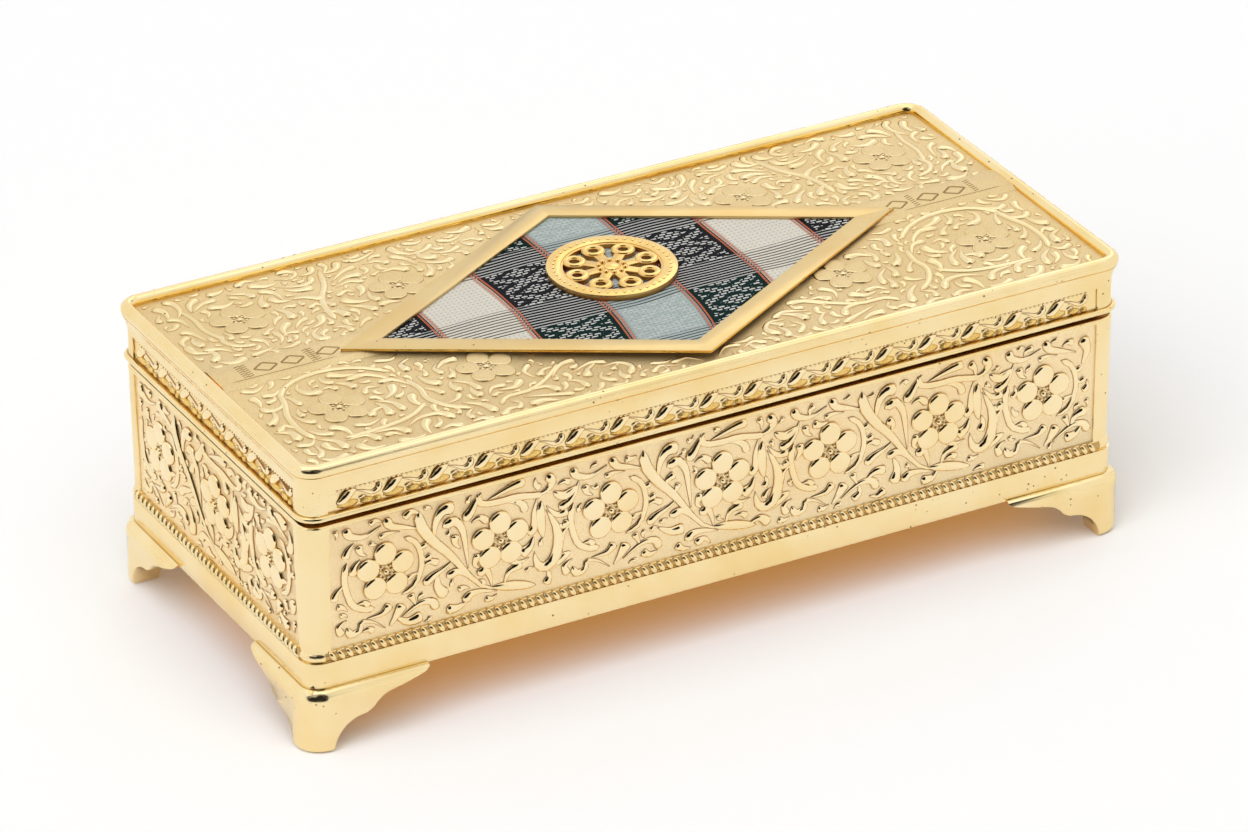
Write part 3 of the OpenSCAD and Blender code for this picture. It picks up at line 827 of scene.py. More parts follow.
@dataclass(frozen=True)
class LeafFiller:
    """Sets small leaves, which curl round the flowers, in the ground that the strokes leave bare."""

    gap: float = 0.09              # least ground between a leaf and what is round it
    tries: int = 1500
    cell: float = 4.0
    sizes: tuple[Point, ...] = ((6.6, 1.9), (5.2, 1.7), (4.0, 1.4), (3.0, 1.15), (2.1, 0.9))
    seed: int = 5

    def spots(self, stroke: Stroke, fullness: float) -> list[Triple]:
        """Returns round spots that cover a stroke, as x, y and radius."""
        return [(*stroke.at(k / 9), stroke.half_width(k / 9) * fullness) for k in range(10)]

    def leaf(self, ground: Ground, draw: random.Random, length: float, width: float) -> Stroke:
        """Draws one leaf at a place taken from the random numbers."""
        x = draw.uniform(ground.low[0], ground.high[0])
        y = draw.uniform(ground.low[1], ground.high[1])
        flower = ground.nearest(x, y)
        way = math.atan2(y - flower[1], x - flower[0]) + math.pi / 2
        way += draw.choice((0.0, math.pi)) + draw.uniform(-0.9, 0.9)
        bend = draw.choice((-1, 1)) * draw.uniform(0.12, 0.30) * length
        ahead, aside = (math.cos(way), math.sin(way)), (-math.sin(way), math.cos(way))
        half = length / 2
        points = ((x + ahead[0] * half, y + ahead[1] * half),
                  (x + aside[0] * bend, y + aside[1] * bend),
                  (x - ahead[0] * half, y - ahead[1] * half))
        return Stroke(points, width)

    def fill(self, ground: Ground, drawn: Sequence[Stroke], fullness: float) -> list[Stroke]:
        """Adds leaves between the drawn strokes, the largest first; their tails may touch a stroke.

        Args:
            ground: the ground to fill.
            drawn: the strokes that are there.
            fullness: what every width is multiplied by.

        Returns:
            The leaves that found room.
        """
        draw = random.Random(self.seed)
        taken: dict[tuple[int, int], list[Triple]] = {}

        def key(x: float, y: float) -> tuple[int, int]:
            """Names the cell that a place is in."""
            return math.floor(x / self.cell), math.floor(y / self.cell)

        def clear(x: float, y: float, reach: float) -> bool:
            """Says whether a spot keeps clear of every stroke so far."""
            column, line = key(x, y)
            for a in (-1, 0, 1):
                for b in (-1, 0, 1):
                    for near in taken.get((column + a, line + b), ()):
                        if math.hypot(x - near[0], y - near[1]) < reach + near[2] + self.gap:
                            return False
            return True

        for stroke in drawn:
            for spot in self.spots(stroke, fullness):
                taken.setdefault(key(*spot[:2]), []).append(spot)
        added = []
        for length, width in self.sizes:
            for _ in range(self.tries):
                leaf = self.leaf(ground, draw, length, width)
                spots = self.spots(leaf, fullness)
                if all(ground.bare(*spot) for spot in spots) and all(clear(*spot) for spot in spots[:6]):
                    added.append(leaf)
                    for spot in spots:
                        taken.setdefault(key(*spot[:2]), []).append(spot)
        return added


# Strokes of one repeat of the wall relief, measured from its first flower, which stands upright
# between the vine on its left and the great S that leads to the second flower.
WALL_REPEAT = draw_strokes(
    (1.9, (7.9, 12.4), (8.5, 8.6), (11.3, 4.1), (15.3, -0.3), (18.8, -5.3), (22.8, -10.0), (26.9, -11.7)),
    (1.5, (25.0, -11.0), (30.4, -12.0), (35.8, -13.4), Form.LEAF),
    (1.6, (19.0, -13.0), (19.6, -11.4), (22.5, -11.2), (26.4, -12.2)),
    (2.1, (16.6, 10.8), (13.8, 10.9), (12.0, 8.3), (11.5, 4.4)),
    (1.7, (13.6, 6.6), (16.2, 7.6), (18.3, 5.0), (19.1, 0.0), (19.6, -4.8)),
    (1.5, (9.0, -6.0), (11.0, -4.4), (13.8, -3.2), (16.0, -1.8)),
    (1.5, (14.4, -5.7), (16.9, -4.8), (19.4, -6.4), (21.9, -9.6)),
    (1.6, (21.8, -7.2), (23.6, -6.2), (24.7, -8.2), (25.2, -10.8)),
    (1.5, (-12.6, 3.9), (-10.2, 4.7), (-8.5, 6.8), (-7.6, 9.4)),
    (1.5, (-9.0, 12.7), (-8.2, 10.6), (-4.8, 9.6), (-0.8, 11.2)),
    (1.5, (0.2, 12.7), (1.5, 10.4), (4.6, 9.3), (8.4, 8.0)), (1.0, (-1.4, 8.3), (0.6, 8.9), (3.6, 8.6)),
    (1.3, (-6.2, 7.8), (-5.6, 5.8), (-4.2, 4.8)),
    (1.0, (-9.0, 4.4), (-9.6, 1.0), (-9.2, -2.4), (-7.8, -6.2), (-5.0, -8.0), (-2.6, -8.2), Form.VINE),
    (1.4, (-12.3, -4.2), (-11.6, -2.3), (-9.6, -0.6)), (1.1, (-4.0, -7.4), (-5.2, -6.2), (-7.0, -6.4)),
    (1.3, (-9.3, -11.2), (-8.4, -13.2), (-6.2, -12.7), (-5.8, -10.8), (-3.0, -11.6), (-0.2, -13.8)),
    (1.5, (1.0, -8.2), (-0.8, -10.0), (-4.6, -10.4)), (1.8, (4.0, -9.0), (2.6, -11.3), (0.8, -13.6)),
    (1.5, (12.0, -12.8), (10.8, -10.4), (7.4, -10.2), (3.0, -12.8)),
    (1.2, (5.8, -7.2), (6.5, -8.8), (7.2, -10.4)),
    (0.85, (3.6, -6.8), (6.8, -5.2), (8.4, -2.0), (8.5, 1.6), (7.2, 5.0), (4.4, 7.0), Form.VINE),
    (1.1, (9.9, 3.8), (8.2, 3.6), (7.4, 5.4)), (1.1, (11.0, 1.0), (9.4, 0.4), (8.3, 1.8)),
    (1.2, (12.6, -1.6), (10.5, -0.6), (8.8, -1.5)), (1.0, (5.0, -3.4), (6.4, -2.8), (8.4, -2.4)),
    (1.7, (18.6, 6.9), (20.4, 9.0), (21.6, 11.0), (22.9, 12.6)),
    (1.6, (33.4, 12.7), (29.5, 12.0), (24.4, 10.4)),
    (1.0, (21.9, 12.6), (22.8, 10.0), (27.0, 9.3), (31.0, 9.4), (35.0, 8.6), (37.6, 8.2), Form.VINE),
    (1.6, (38.4, 12.6), (39.8, 10.8), (38.2, 8.9), (34.6, 8.6)),
    (1.4, (33.2, 5.0), (32.6, 7.2), (29.6, 8.8), (26.0, 8.6)),
    (1.5, (34.0, -0.8), (35.4, 1.2), (35.4, 4.4), (36.2, 8.0)),
    (2.0, (32.0, -4.9), (34.2, -3.6), (35.2, -1.4)),
    (1.5, (37.1, 6.8), (36.9, 2.4), (37.6, -2.4), Form.LEAF),
    (1.7, (38.2, 4.4), (40.4, 0.4), (41.2, -4.0), (40.2, -8.0), (37.7, -9.6), (35.9, -8.0),
     (35.4, -5.0), Form.LEAF), (1.4, (43.6, 2.6), (40.8, 2.5), (38.4, 5.2)),
    (1.4, (46.0, 8.2), (42.6, 6.6), (40.0, 8.2), Form.LEAF),
    (1.3, (43.6, 0.4), (42.2, -0.8), (40.6, 0.6)), (1.1, (29.6, -5.6), (31.6, -6.7), (34.2, -6.2)),
    (1.4, (32.6, -7.4), (29.4, -8.2), (28.0, -11.4)), (1.3, (24.4, 5.2), (22.4, 6.8), (20.4, 6.0)),
    (1.2, (22.0, -1.8), (21.2, -4.2), (22.4, -5.6)),
    (1.3, (44.2, -7.4), (41.6, -8.6), (38.4, -10.8), Form.LEAF),
    (1.3, (43.4, -12.9), (42.6, -10.6), (44.6, -9.4)),
)

# Strokes of the left half of the lid, behind and in front of its middle band, measured from the
# middle of the lid.  The right half mirrors them.
LID_REAR_LEFT = draw_strokes(
    (1.7, (-91.2, 41.0), (-89.2, 39.2), (-89.3, 35.4), (-91.5, 32.0)),
    (1.5, (-93.9, 32.8), (-91.4, 31.2), (-91.0, 27.4)),
    (1.6, (-94.1, 25.8), (-91.8, 24.2), (-90.6, 18.8)),
    (1.4, (-93.4, 15.8), (-89.6, 14.4), (-87.6, 11.4)),
    (1.7, (-80.2, 36.3), (-83.5, 36.1), (-87.2, 33.4)),
    (1.6, (-72.4, 33.0), (-73.6, 35.8), (-77.4, 37.2)),
    (1.7, (-70.8, 35.4), (-68.0, 33.0), (-67.6, 28.6)),
    (1.4, (-73.8, 31.4), (-76.2, 30.6), (-77.8, 31.8)),
    (1.1, (-62.0, 14.6), (-61.6, 20.0), (-60.0, 25.6), (-56.7, 31.0), (-54.4, 38.6), Form.VINE),
    (1.5, (-57.4, 36.8), (-58.8, 33.6), (-62.5, 33.4), (-66.5, 35.4)),
    (1.5, (-63.8, 40.8), (-61.2, 41.2), (-59.7, 39.2), (-61.8, 37.4), (-65.2, 38.6)),
    (1.4, (-53.4, 41.2), (-52.6, 38.6), (-55.4, 35.0)),
    (1.6, (-46.8, 35.8), (-50.4, 34.8), (-54.6, 31.6)),
    (1.5, (-39.6, 33.2), (-41.4, 35.6), (-45.0, 35.8)),
    (1.5, (-38.4, 36.6), (-35.8, 33.6), (-34.8, 29.6)),
    (1.5, (-27.4, 37.4), (-30.4, 35.2), (-35.4, 34.8)),
    (1.4, (-25.8, 38.6), (-23.0, 36.6), (-19.2, 38.2)),
    (1.3, (-48.4, 39.8), (-45.4, 38.2), (-41.8, 39.4), (-39.0, 41.2)),
    (1.3, (-33.2, 40.8), (-30.2, 39.2), (-27.6, 41.0)),
    (1.6, (-26.2, 28.6), (-30.0, 28.2), (-34.0, 30.8)),
    (1.4, (-22.4, 33.4), (-25.8, 32.0), (-29.6, 33.2)),
    (1.3, (-16.6, 33.0), (-18.6, 35.2), (-22.2, 35.0)), (1.3, (-13.6, 40.4), (-10.8, 38.8), (-7.6, 40.6)),
    (1.3, (-71.6, 22.0), (-73.6, 20.8), (-74.8, 18.6)),
    (1.4, (-67.0, 18.6), (-69.4, 17.6), (-71.6, 15.0)),
    (1.3, (-76.4, 16.2), (-76.0, 12.8), (-77.6, 10.2)),
    (1.2, (-71.4, 13.2), (-73.6, 14.2), (-76.0, 12.8)), (1.4, (-82.4, 15.6), (-80.0, 13.2), (-80.4, 9.8)),
    (1.4, (-85.4, 8.4), (-82.6, 8.8), (-79.0, 9.8)), (1.2, (-73.2, 9.4), (-76.0, 8.2), (-79.0, 8.6)),
    (1.5, (-66.6, 7.4), (-69.2, 8.4), (-69.0, 11.6), (-65.8, 13.6)),
    (1.4, (-61.2, 7.8), (-61.8, 10.6), (-64.6, 11.6)), (1.4, (-55.0, 11.8), (-57.2, 11.0), (-59.4, 8.6)),
    (1.6, (-52.0, 14.2), (-54.2, 17.4), (-57.4, 19.6)),
    (1.6, (-59.8, 24.8), (-62.8, 27.6), (-66.8, 28.6)),
    (1.4, (-48.4, 28.0), (-51.4, 29.8), (-55.2, 28.4)),
    (1.3, (-56.8, 24.6), (-54.0, 26.0), (-52.4, 24.4)),
    (1.6, (-49.4, 18.2), (-50.6, 20.6), (-49.8, 23.8)),
    (1.3, (-64.6, 22.4), (-62.4, 23.6), (-61.0, 21.0)),
    (1.3, (-66.4, 24.8), (-68.6, 25.8), (-70.6, 24.2)),
    (1.0, (-86.6, 20.6), (-87.6, 17.0), (-85.6, 13.8), (-82.0, 12.6), Form.VINE),
    (0.9, (-89.4, 35.2), (-88.6, 30.0), (-88.8, 24.0), (-87.0, 18.0), Form.VINE),
)

LID_FRONT_LEFT = draw_strokes(
    (1.5, (-94.6, -4.6), (-92.2, -6.6), (-88.6, -4.6)),
    (1.6, (-91.6, -8.8), (-89.2, -9.8), (-86.4, -7.4)),
    (1.7, (-79.0, -13.2), (-82.2, -12.8), (-83.6, -9.8), (-82.0, -7.2)),
    (1.4, (-75.4, -11.2), (-77.4, -9.2), (-77.0, -6.6)),
    (1.1, (-88.9, -12.4), (-86.4, -8.6), (-82.0, -6.0), (-75.0, -5.2), (-67.5, -7.8),
     (-62.6, -12.6), Form.VINE), (1.6, (-73.0, -11.4), (-68.8, -10.8), (-65.4, -13.4), (-63.8, -16.6)),
    (1.7, (-59.0, -14.0), (-59.4, -10.6), (-56.2, -8.6)),
    (1.3, (-64.0, -6.4), (-60.4, -7.6), (-57.8, -5.6)),
    (1.5, (-67.4, -15.2), (-63.8, -15.8), (-61.4, -19.8)),
    (1.1, (-61.6, -16.6), (-60.6, -22.0), (-61.2, -26.6), (-58.6, -31.6), (-54.6, -34.8), Form.VINE),
    (1.8, (-50.8, -38.6), (-52.2, -34.4), (-55.8, -31.4)),
    (1.6, (-94.2, -13.4), (-92.8, -15.8), (-89.8, -15.0), (-88.0, -11.8)),
    (1.3, (-85.8, -16.6), (-86.6, -13.2), (-88.2, -10.4)),
    (1.1, (-87.7, -9.7), (-89.0, -15.0), (-90.7, -19.7), (-91.0, -26.3), (-89.6, -31.0), Form.VINE),
    (1.6, (-95.2, -24.8), (-93.0, -22.8), (-91.0, -25.6)),
    (1.5, (-86.2, -24.6), (-88.4, -22.8), (-89.8, -19.4)),
    (1.5, (-94.8, -31.4), (-91.8, -32.6), (-89.8, -30.2)),
    (1.5, (-85.2, -30.8), (-88.0, -29.4), (-90.0, -26.6)),
    (1.7, (-85.6, -37.8), (-86.4, -33.8), (-89.6, -31.2)),
    (1.4, (-92.8, -38.6), (-91.0, -36.2), (-91.4, -33.0)),
    (1.7, (-77.8, -37.8), (-79.6, -34.4), (-84.4, -34.4)),
    (1.7, (-70.8, -38.0), (-73.0, -34.8), (-78.4, -34.2)),
    (1.0, (-84.5, -33.4), (-76.0, -33.2), (-68.0, -31.6), (-62.2, -27.6), Form.VINE),
    (1.7, (-59.8, -36.8), (-61.8, -33.4), (-66.4, -33.0), (-70.2, -35.2)),
    (1.6, (-67.6, -28.8), (-68.4, -24.6), (-71.6, -22.0)),
    (1.3, (-65.6, -38.4), (-63.4, -36.8), (-63.2, -34.2)),
    (1.4, (-57.0, -26.4), (-58.2, -23.8), (-60.6, -21.6)),
    (1.5, (-49.4, -28.6), (-50.4, -24.6), (-53.6, -22.0)),
    (1.3, (-54.4, -27.6), (-55.8, -29.6), (-58.8, -30.4)),
    (1.4, (-43.8, -29.2), (-47.0, -28.8), (-49.0, -31.2)),
    (1.3, (-53.2, -18.6), (-54.0, -15.6), (-52.2, -13.4)),
    (1.2, (-57.2, -17.8), (-56.2, -15.4), (-57.8, -13.6)),
    (1.4, (-35.2, -23.2), (-37.8, -25.8), (-37.0, -29.4)),
    (1.6, (-25.8, -26.2), (-29.8, -26.8), (-33.8, -30.8)),
    (1.5, (-20.4, -30.6), (-23.8, -29.0), (-29.0, -31.2)),
    (1.7, (-34.8, -37.0), (-36.6, -33.8), (-41.8, -33.6)),
    (1.4, (-32.6, -39.4), (-37.4, -37.6), (-43.2, -35.4)),
    (0.95, (-48.8, -36.4), (-46.2, -33.8), (-40.0, -33.4), (-34.0, -29.8), (-29.4, -25.4), Form.VINE),
    (1.6, (-18.6, -37.6), (-16.6, -34.4), (-18.6, -31.6), (-22.6, -32.0)),
    (1.4, (-22.0, -38.8), (-24.6, -36.0), (-22.8, -33.2)),
    (1.5, (-28.8, -38.4), (-29.4, -35.2), (-31.8, -33.2)),
    (1.3, (-46.4, -39.6), (-44.8, -37.4), (-46.6, -35.6)),
    (1.3, (-14.0, -39.4), (-11.4, -37.4), (-7.8, -39.2)),
    (1.3, (-8.6, -37.6), (-4.8, -36.6), (-1.8, -39.6)),
    (1.2, (-12.8, -35.4), (-9.6, -36.4), (-7.0, -35.4)),
    (1.3, (-71.8, -18.6), (-70.4, -16.2), (-67.8, -17.2)),
    (1.3, (-80.2, -29.2), (-77.0, -30.6), (-73.4, -29.0)),
    (1.3, (-56.4, -38.8), (-56.8, -36.4), (-54.4, -34.6)),
)

# One repeat of the running wave on the lid's frieze, measured from the foot of its rising leaf.
FRIEZE_REPEAT = draw_strokes(
    (2.3, (0.1, -1.0), (1.5, -0.6), (3.1, 0.8), (4.9, 1.5), Form.LEAF),
    (1.7, (10.3, 1.7), (9.9, 0.2), (8.4, -0.3), (6.6, 0.5), (4.6, 1.2)),
    (0.9, (5.4, -1.0), (6.6, -0.5), (7.4, -1.1)),
)
# Seeded lobes under that wave: place along the repeat, height, half length and half height.
FRIEZE_LOBES = ((2.7, -1.5, 2.6, 1.0), (7.2, -1.75, 1.6, 0.8), (9.7, -1.9, 0.95, 0.65))

# Engraved lozenges on the middle band of the lid, by their places along it, and the rows of
# short ticks beside them.
LOZENGES = (-85.4, -79.0, -70.6, 70.0, 78.0, 84.8)
TICK_ROWS = (-91.0, -89.8, -74.9, -73.9, 74.1, 89.2)


@dataclass(frozen=True)
class ReliefCarver:
    """Turns strokes and flowers into raised meshes on the flat."""

    rise: float = 0.62            # height of a stroke as a share of its half width
    segments: int = 11
    sides: int = 3                # bevel resolution of the curve that carries a stroke
    petals: int = 5
    first_petal: float = 90.0     # its direction, in degrees
    petal_place: float = 0.62     # distance of a petal's middle from the flower's, as a share of its reach
    petal_steps: tuple[Point, ...] = ((0.40, 0.985), (0.27, 0.93), (0.18, 0.84), (0.10, 0.66), (0.05, 0.3))

    def strokes(self, name: str, drawn: Sequence[Stroke], rise: float | None = None,
                fullness: float = 1.0) -> Piece:
        """Raises strokes as one mesh.

        Args:
            name: the piece's name.
            drawn: the strokes, in millimetres on the flat.
            rise: height as a share of half the width, or None for the carver's own.
            fullness: what every width is multiplied by.

        Returns:
            The mesh, half sunk in the flat.
        """
        shares = [index / self.segments for index in range(self.segments + 1)]
        piece = swept(name, [[(*stroke.at(t), 0.0, stroke.half_width(t) * fullness) for t in shares]
                             for stroke in drawn], self.sides)
        edit_all(piece)
        bpy.ops.transform.resize(value=(1.0, 1.0, rise or self.rise), center_override=(0.0, 0.0, 0.0))
        leave_edit()
        smooth(piece, 60)
        mark_rise(piece)
        return piece

    def flower(self, name: str, radius: float = 6.6, height: float = 0.8, seed_share: float = 1.0) -> Piece:
        """Models one flower: domed petals round a ring of seeds.

        Args:
            name: the piece's name.
            radius: reach of the petals.
            height: height of a petal over the ground.
            seed_share: height of a seed as a share of its width.

        Returns:
            The flower, at the origin of the flat.
        """
        petal = add_new(name + "_petal", bpy.ops.mesh.primitive_circle_add, vertices=20, radius=1.0,
                        fill_type="NGON")
        edit_all(petal)
        half = (radius * 0.40 * MM, radius * 0.39 * MM, 1.0)
        bpy.ops.transform.resize(value=half, center_override=(0, 0, 0))
        for lift, share in self.petal_steps:
            bpy.ops.mesh.extrude_region_move(
                TRANSFORM_OT_translate={"value": (0.0, 0.0, lift * height * MM)})
            bpy.ops.transform.resize(value=(share, share, 1.0), center_override=(0, 0, 0))
        leave_edit()
        lay(petal, shift(radius * self.petal_place, 0, 0))
        parts = [petal] + ring_of(petal, self.petals, 1)
        for count, reach, size in ((9, radius * 0.215, radius * 0.048), (1, 0.0, radius * 0.11)):
            seed = add_ball(name + "_seed", size, 8, 6)
            lay(seed, shift(reach, 0, height * 0.35) @ Matrix.Diagonal((1, 1, seed_share, 1)))
            parts += [seed] + ring_of(seed, count, 1)
        made = lay(join(parts, name), turn(self.first_petal))
        smooth(made, 50)
        mark_rise(made)
        return made


class Side(Enum):
    """A side of the box, by the turn that brings the front round to it."""

    FRONT = 0
    RIGHT = 90
    REAR = 180
    LEFT = 270

    @property
    def is_long(self) -> bool:
        """Says whether the side runs along X."""
        return self in (Side.FRONT, Side.REAR)

    def brought_round(self, *vectors: Vector) -> list[Vector]:
        """Turns vectors with the box until this side is at the front."""
        return [turn(-self.value) @ vector for vector in vectors]


@dataclass(frozen=True)
class BoxSizes:
    """Sizes of the casting that the relief is fitted to, as the CAD model has them."""

    length: float = 199.0
    width: float = 88.6
    rim: float = 53.4
    lean: float = 0.45 / 32.7      # how far a wall leans in, for each mm downwards
    pilaster: float = 5.6
    panel_deep: float = 0.5
    panel_low: float = 23.1
    panel_high: float = 52.5
    rope_z: float = 21.9
    rope_out: float = -1.1         # axis of the rope moulding, out from the wall line
    rope_r: float = 1.2
    lid_in: float = 0.2            # lid's own wall, in from the wall line
    frieze_low: float = 56.1
    frieze_high: float = 61.2
    frieze_deep: float = 0.5
    field_z: float = 66.3
    crown: float = 0.7
    field_half_y: float = 42.4
    field_half_x: float = 97.6
    band_y: float = 1.6
    band_w: float = 7.5
    band_z: float = 67.6
    diamond: Point = (68.4, 39.6)  # half length and half width of the frame
    pocket_in: float = 3.5         # edge of the cloth, in from the edge of the frame
    medal_y: float = 4.6
    medal_r: float = 14.4
    medal_ring: float = 3.2
    medal_t: float = 1.6

    def half(self, side: Side) -> float:
        """Distance from the middle of the box to a side's wall line."""
        return (self.width if side.is_long else self.length) / 2

    def span(self, side: Side) -> float:
        """Half the length of a side's panel."""
        return (self.length if side.is_long else self.width) / 2 - self.pilaster

    def on_side(self, side: Side, out: float, z: float, lean: float = 0.0) -> Matrix:
        """Lays the flat on a side.

        Args:
            side: which side.
            out: distance of the flat out from the wall line.
            z: height of the flat's origin.
            lean: how far the flat leans out, in degrees.

        Returns:
            The matrix from the flat to the box.
        """
        return turn(side.value) @ shift(0, -self.half(side) - out, z) @ turn(90 + lean, "X")


SIZES = BoxSizes()
CARVER = ReliefCarver()
FILLER = LeafFiller()


# ---------------------------------------------------------------------------------------------
# Sub-assemblies
# ---------------------------------------------------------------------------------------------
def coat(piece: Piece, *finishes: Finish) -> None:
    """Gives a piece these finishes in place of what it has."""
    piece.data.materials.clear()
    for finish in finishes:
        piece.data.materials.append(finish.material())


def finish_piece(piece: Piece, body: str, slot: str, finishes: Sequence[Finish], *replaced: str) -> None:
    """Gives a piece its finishes and its body, and hides the CAD nodes that it stands for."""
    coat(piece, *finishes)
    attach(piece, body)
    if replaced:
        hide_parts(*replaced)
    LOG.info("%s: %d faces", piece.name, len(piece.data.polygons))


def softened_copy(node: str, name: str, round_mm: float = 0.16) -> Piece:
    """Copies a CAD node's mesh and rounds its edges as casting and plating do.

    Args:
        node: name of the CAD node.
        name: name of the new piece.
        round_mm: width of the rounding.

    Returns:
        The new piece.
    """
    made = copy_of(frame["nodes"][node], name)
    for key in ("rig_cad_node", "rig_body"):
        if key in made:
            del made[key]
    made.parent = None
    edit_all(made)
    bpy.ops.mesh.remove_doubles(threshold=0.002 * MM)
    bpy.ops.mesh.dissolve_limited(angle_limit=math.radians(0.6))
    leave_edit()
    modify(made, "BEVEL", width=round_mm * MM, segments=2, limit_method="ANGLE",
           angle_limit=math.radians(SHARP_EDGE), miter_outer="MITER_ARC")
    smooth(made, 35)
    return made


@dataclass
class CastBody:
    """The cast body with its panel relief and its rope moulding."""

    repeat: float = 53.8
    second_flower: float = 27.2
    first_flower: float = -80.7
    flower_up: float = 0.9
    half_high: float = 14.3        # half the height of the ground that is filled
    end_gap: float = 0.8           # plain ground at the ends of a panel
    flower_room: float = 6.0       # least distance of a flower's middle from the ground's end
    rise: float = 0.68             # height of a stroke as a share of its half width
    fullness: float = 1.7
    twist: float = 1.97            # distance from one strand of the rope to the next
    strand_steps: int = 8
    strand_r: float = 0.72
    strand_arc: float = 78.0       # how far round its rod a strand goes, each way, in degrees
    strand_lean: float = 1.9       # how far it leans along the rod from end to end
    strand_back: float = 0.85      # place of its first end, back along the rod

    def build(self) -> None:
        """Builds the body's pieces."""
        self.shell()
        flower = CARVER.flower("wall_flower", 6.9, height=0.9)
        for side in Side:
            self.panel(side, flower)
            self.rope(side)
        bpy.data.objects.remove(flower)

    def shell(self) -> None:
        """Rounds the casting's edges, marks the grained ground of its panels, and gives painted shade to
        the collar, the rod behind the rope and the underside.
        """
        body = softened_copy("box_body", "cast_body")
        finish_piece(body, "box", "gold_plate", (BRIGHT, GROUND, DARK_PLATE, PAINTED_SHADE_PLATE), "box_body")
        low, high = SIZES.panel_low * MM, SIZES.panel_high * MM

        def on_panel(centre: Vector, normal: Vector) -> bool:
            """Says whether a face is the sunk ground of a panel."""
            if not low < centre.z < high or abs(normal.z) > 0.1:
                return False
            for side in Side:
                out, facing = side.brought_round(centre, normal)
                deep = -SIZES.half(side) * MM - out.y
                if facing.y < -0.98 and -1.2 * MM < deep < -0.4 * MM:
                    return abs(out.x) < SIZES.span(side) * MM
            return False

        def on_collar(centre: Vector, normal: Vector) -> bool:
            """Says whether a face is part of the collar and the rim that the lid shades, which are given
            painted shade.
            """
            if centre.y > SIZES.half(Side.FRONT) * MM:
                return False
            rim_top = abs(centre.z - SIZES.rim * MM) < 0.05 * MM and normal.z > 0.9
            return centre.z > (SIZES.rim + 0.1) * MM or rim_top

        def on_rope(centre: Vector, normal: Vector) -> bool:
            """Says whether a face is part of the plain rod behind the rope's strands, which is given
            painted shade.
            """
            if abs(centre.z - SIZES.rope_z * MM) > (SIZES.rope_r - 0.1) * MM:
                return False
            for side in Side:
                out, facing = side.brought_round(centre, normal)
                if facing.y < -0.3 and abs(out.x) < (SIZES.span(side) + 1) * MM:
                    return True
            return False

        def on_base(centre: Vector, normal: Vector) -> bool:
            """Says whether a face is the underside, which is given painted shade."""
            return normal.z < -0.9 and centre.z < 15 * MM

        # the collar, the rope's rod and the underside get painted shade
        for index, wanted in ((1, on_panel), (3, on_collar), (3, on_rope), (2, on_base)):
            coat_faces(body, index, wanted)

    def starts(self, side: Side) -> list[float]:
        """Places of the first flower of each repeat along a side."""
        if side.is_long:
            return [self.first_flower + k * self.repeat for k in range(-1, 4)]
        return [-self.second_flower + k * self.repeat for k in range(-1, 2)]

    def panel(self, side: Side, flower: Piece) -> None:
        """Carves the flowers and vines of one wall."""
        middle = (SIZES.panel_low + SIZES.panel_high) / 2
        lean = math.degrees(math.atan(SIZES.lean))
        out = -SIZES.panel_deep - SIZES.lean * (SIZES.rim - middle)
        place = SIZES.on_side(side, out, middle, lean)
        reach = SIZES.span(side) - self.end_gap
        drawn, flowers = [], []
        for start in self.starts(side):
            moved = [stroke.moved(start, self.flower_up) for stroke in WALL_REPEAT]
            drawn += [stroke for stroke in moved if stroke.inside(reach, self.half_high - 0.1)]
            flowers += [x for x in (start, start + self.second_flower) if abs(x) + self.flower_room < reach]
        ground = Ground((-reach, -self.half_high), (reach, self.half_high),
                        tuple((x, self.flower_up) for x in flowers))
        drawn += FILLER.fill(ground, drawn, self.fullness)
        carved = CARVER.strokes(f"{side.name.lower()}_vines", drawn, self.rise, self.fullness)
        parts = [carved] + [copy_of(flower, "flower", shift(x, self.flower_up, 0)) for x in flowers]
        relief = lay(join(parts, f"{side.name.lower()}_wall_relief"), place)
        finish_piece(relief, "box", "gold_plate", (CREST,))

    def rope(self, side: Side) -> None:
        """Lays the strands of the rope moulding along one wall."""
        reach = SIZES.rope_r - 0.1
        knots = []
        for t in (index / self.strand_steps for index in range(self.strand_steps + 1)):
            angle = math.radians(self.strand_arc - 2 * self.strand_arc * t)
            x = self.strand_lean * t ** 1.5 - self.strand_back
            radius = self.strand_r * max(0.4, math.sin(math.pi * t) ** 0.5)
            knots.append((x, math.sin(angle) * reach, math.cos(angle) * reach, radius))
        strand = swept("strand", [knots], 1)
        span = SIZES.span(side) + 1.0
        count = int(2 * span / self.twist)
        row_of(strand, count, self.twist)
        lay(strand, shift(-(count - 1) * self.twist / 2, 0, 0))
        smooth(strand, 60)
        strand.name = f"{side.name.lower()}_rope"
        lay(strand, SIZES.on_side(side, SIZES.rope_out, SIZES.rope_z))
        finish_piece(strand, "box", "gold_plate", (BRIGHT,))


class Feet:
    """The four bracket feet and their screws."""

    def build(self) -> None:
        """Builds the feet."""
        for corner in ("front_left", "front_right", "rear_left", "rear_right"):
            foot = softened_copy(f"foot_{corner}", f"bracket_foot_{corner}", 0.12)
            finish_piece(foot, "box", "gold_plate", (BRIGHT,), f"foot_{corner}")
        coat(frame["nodes"]["foot_screws"], STEEL)


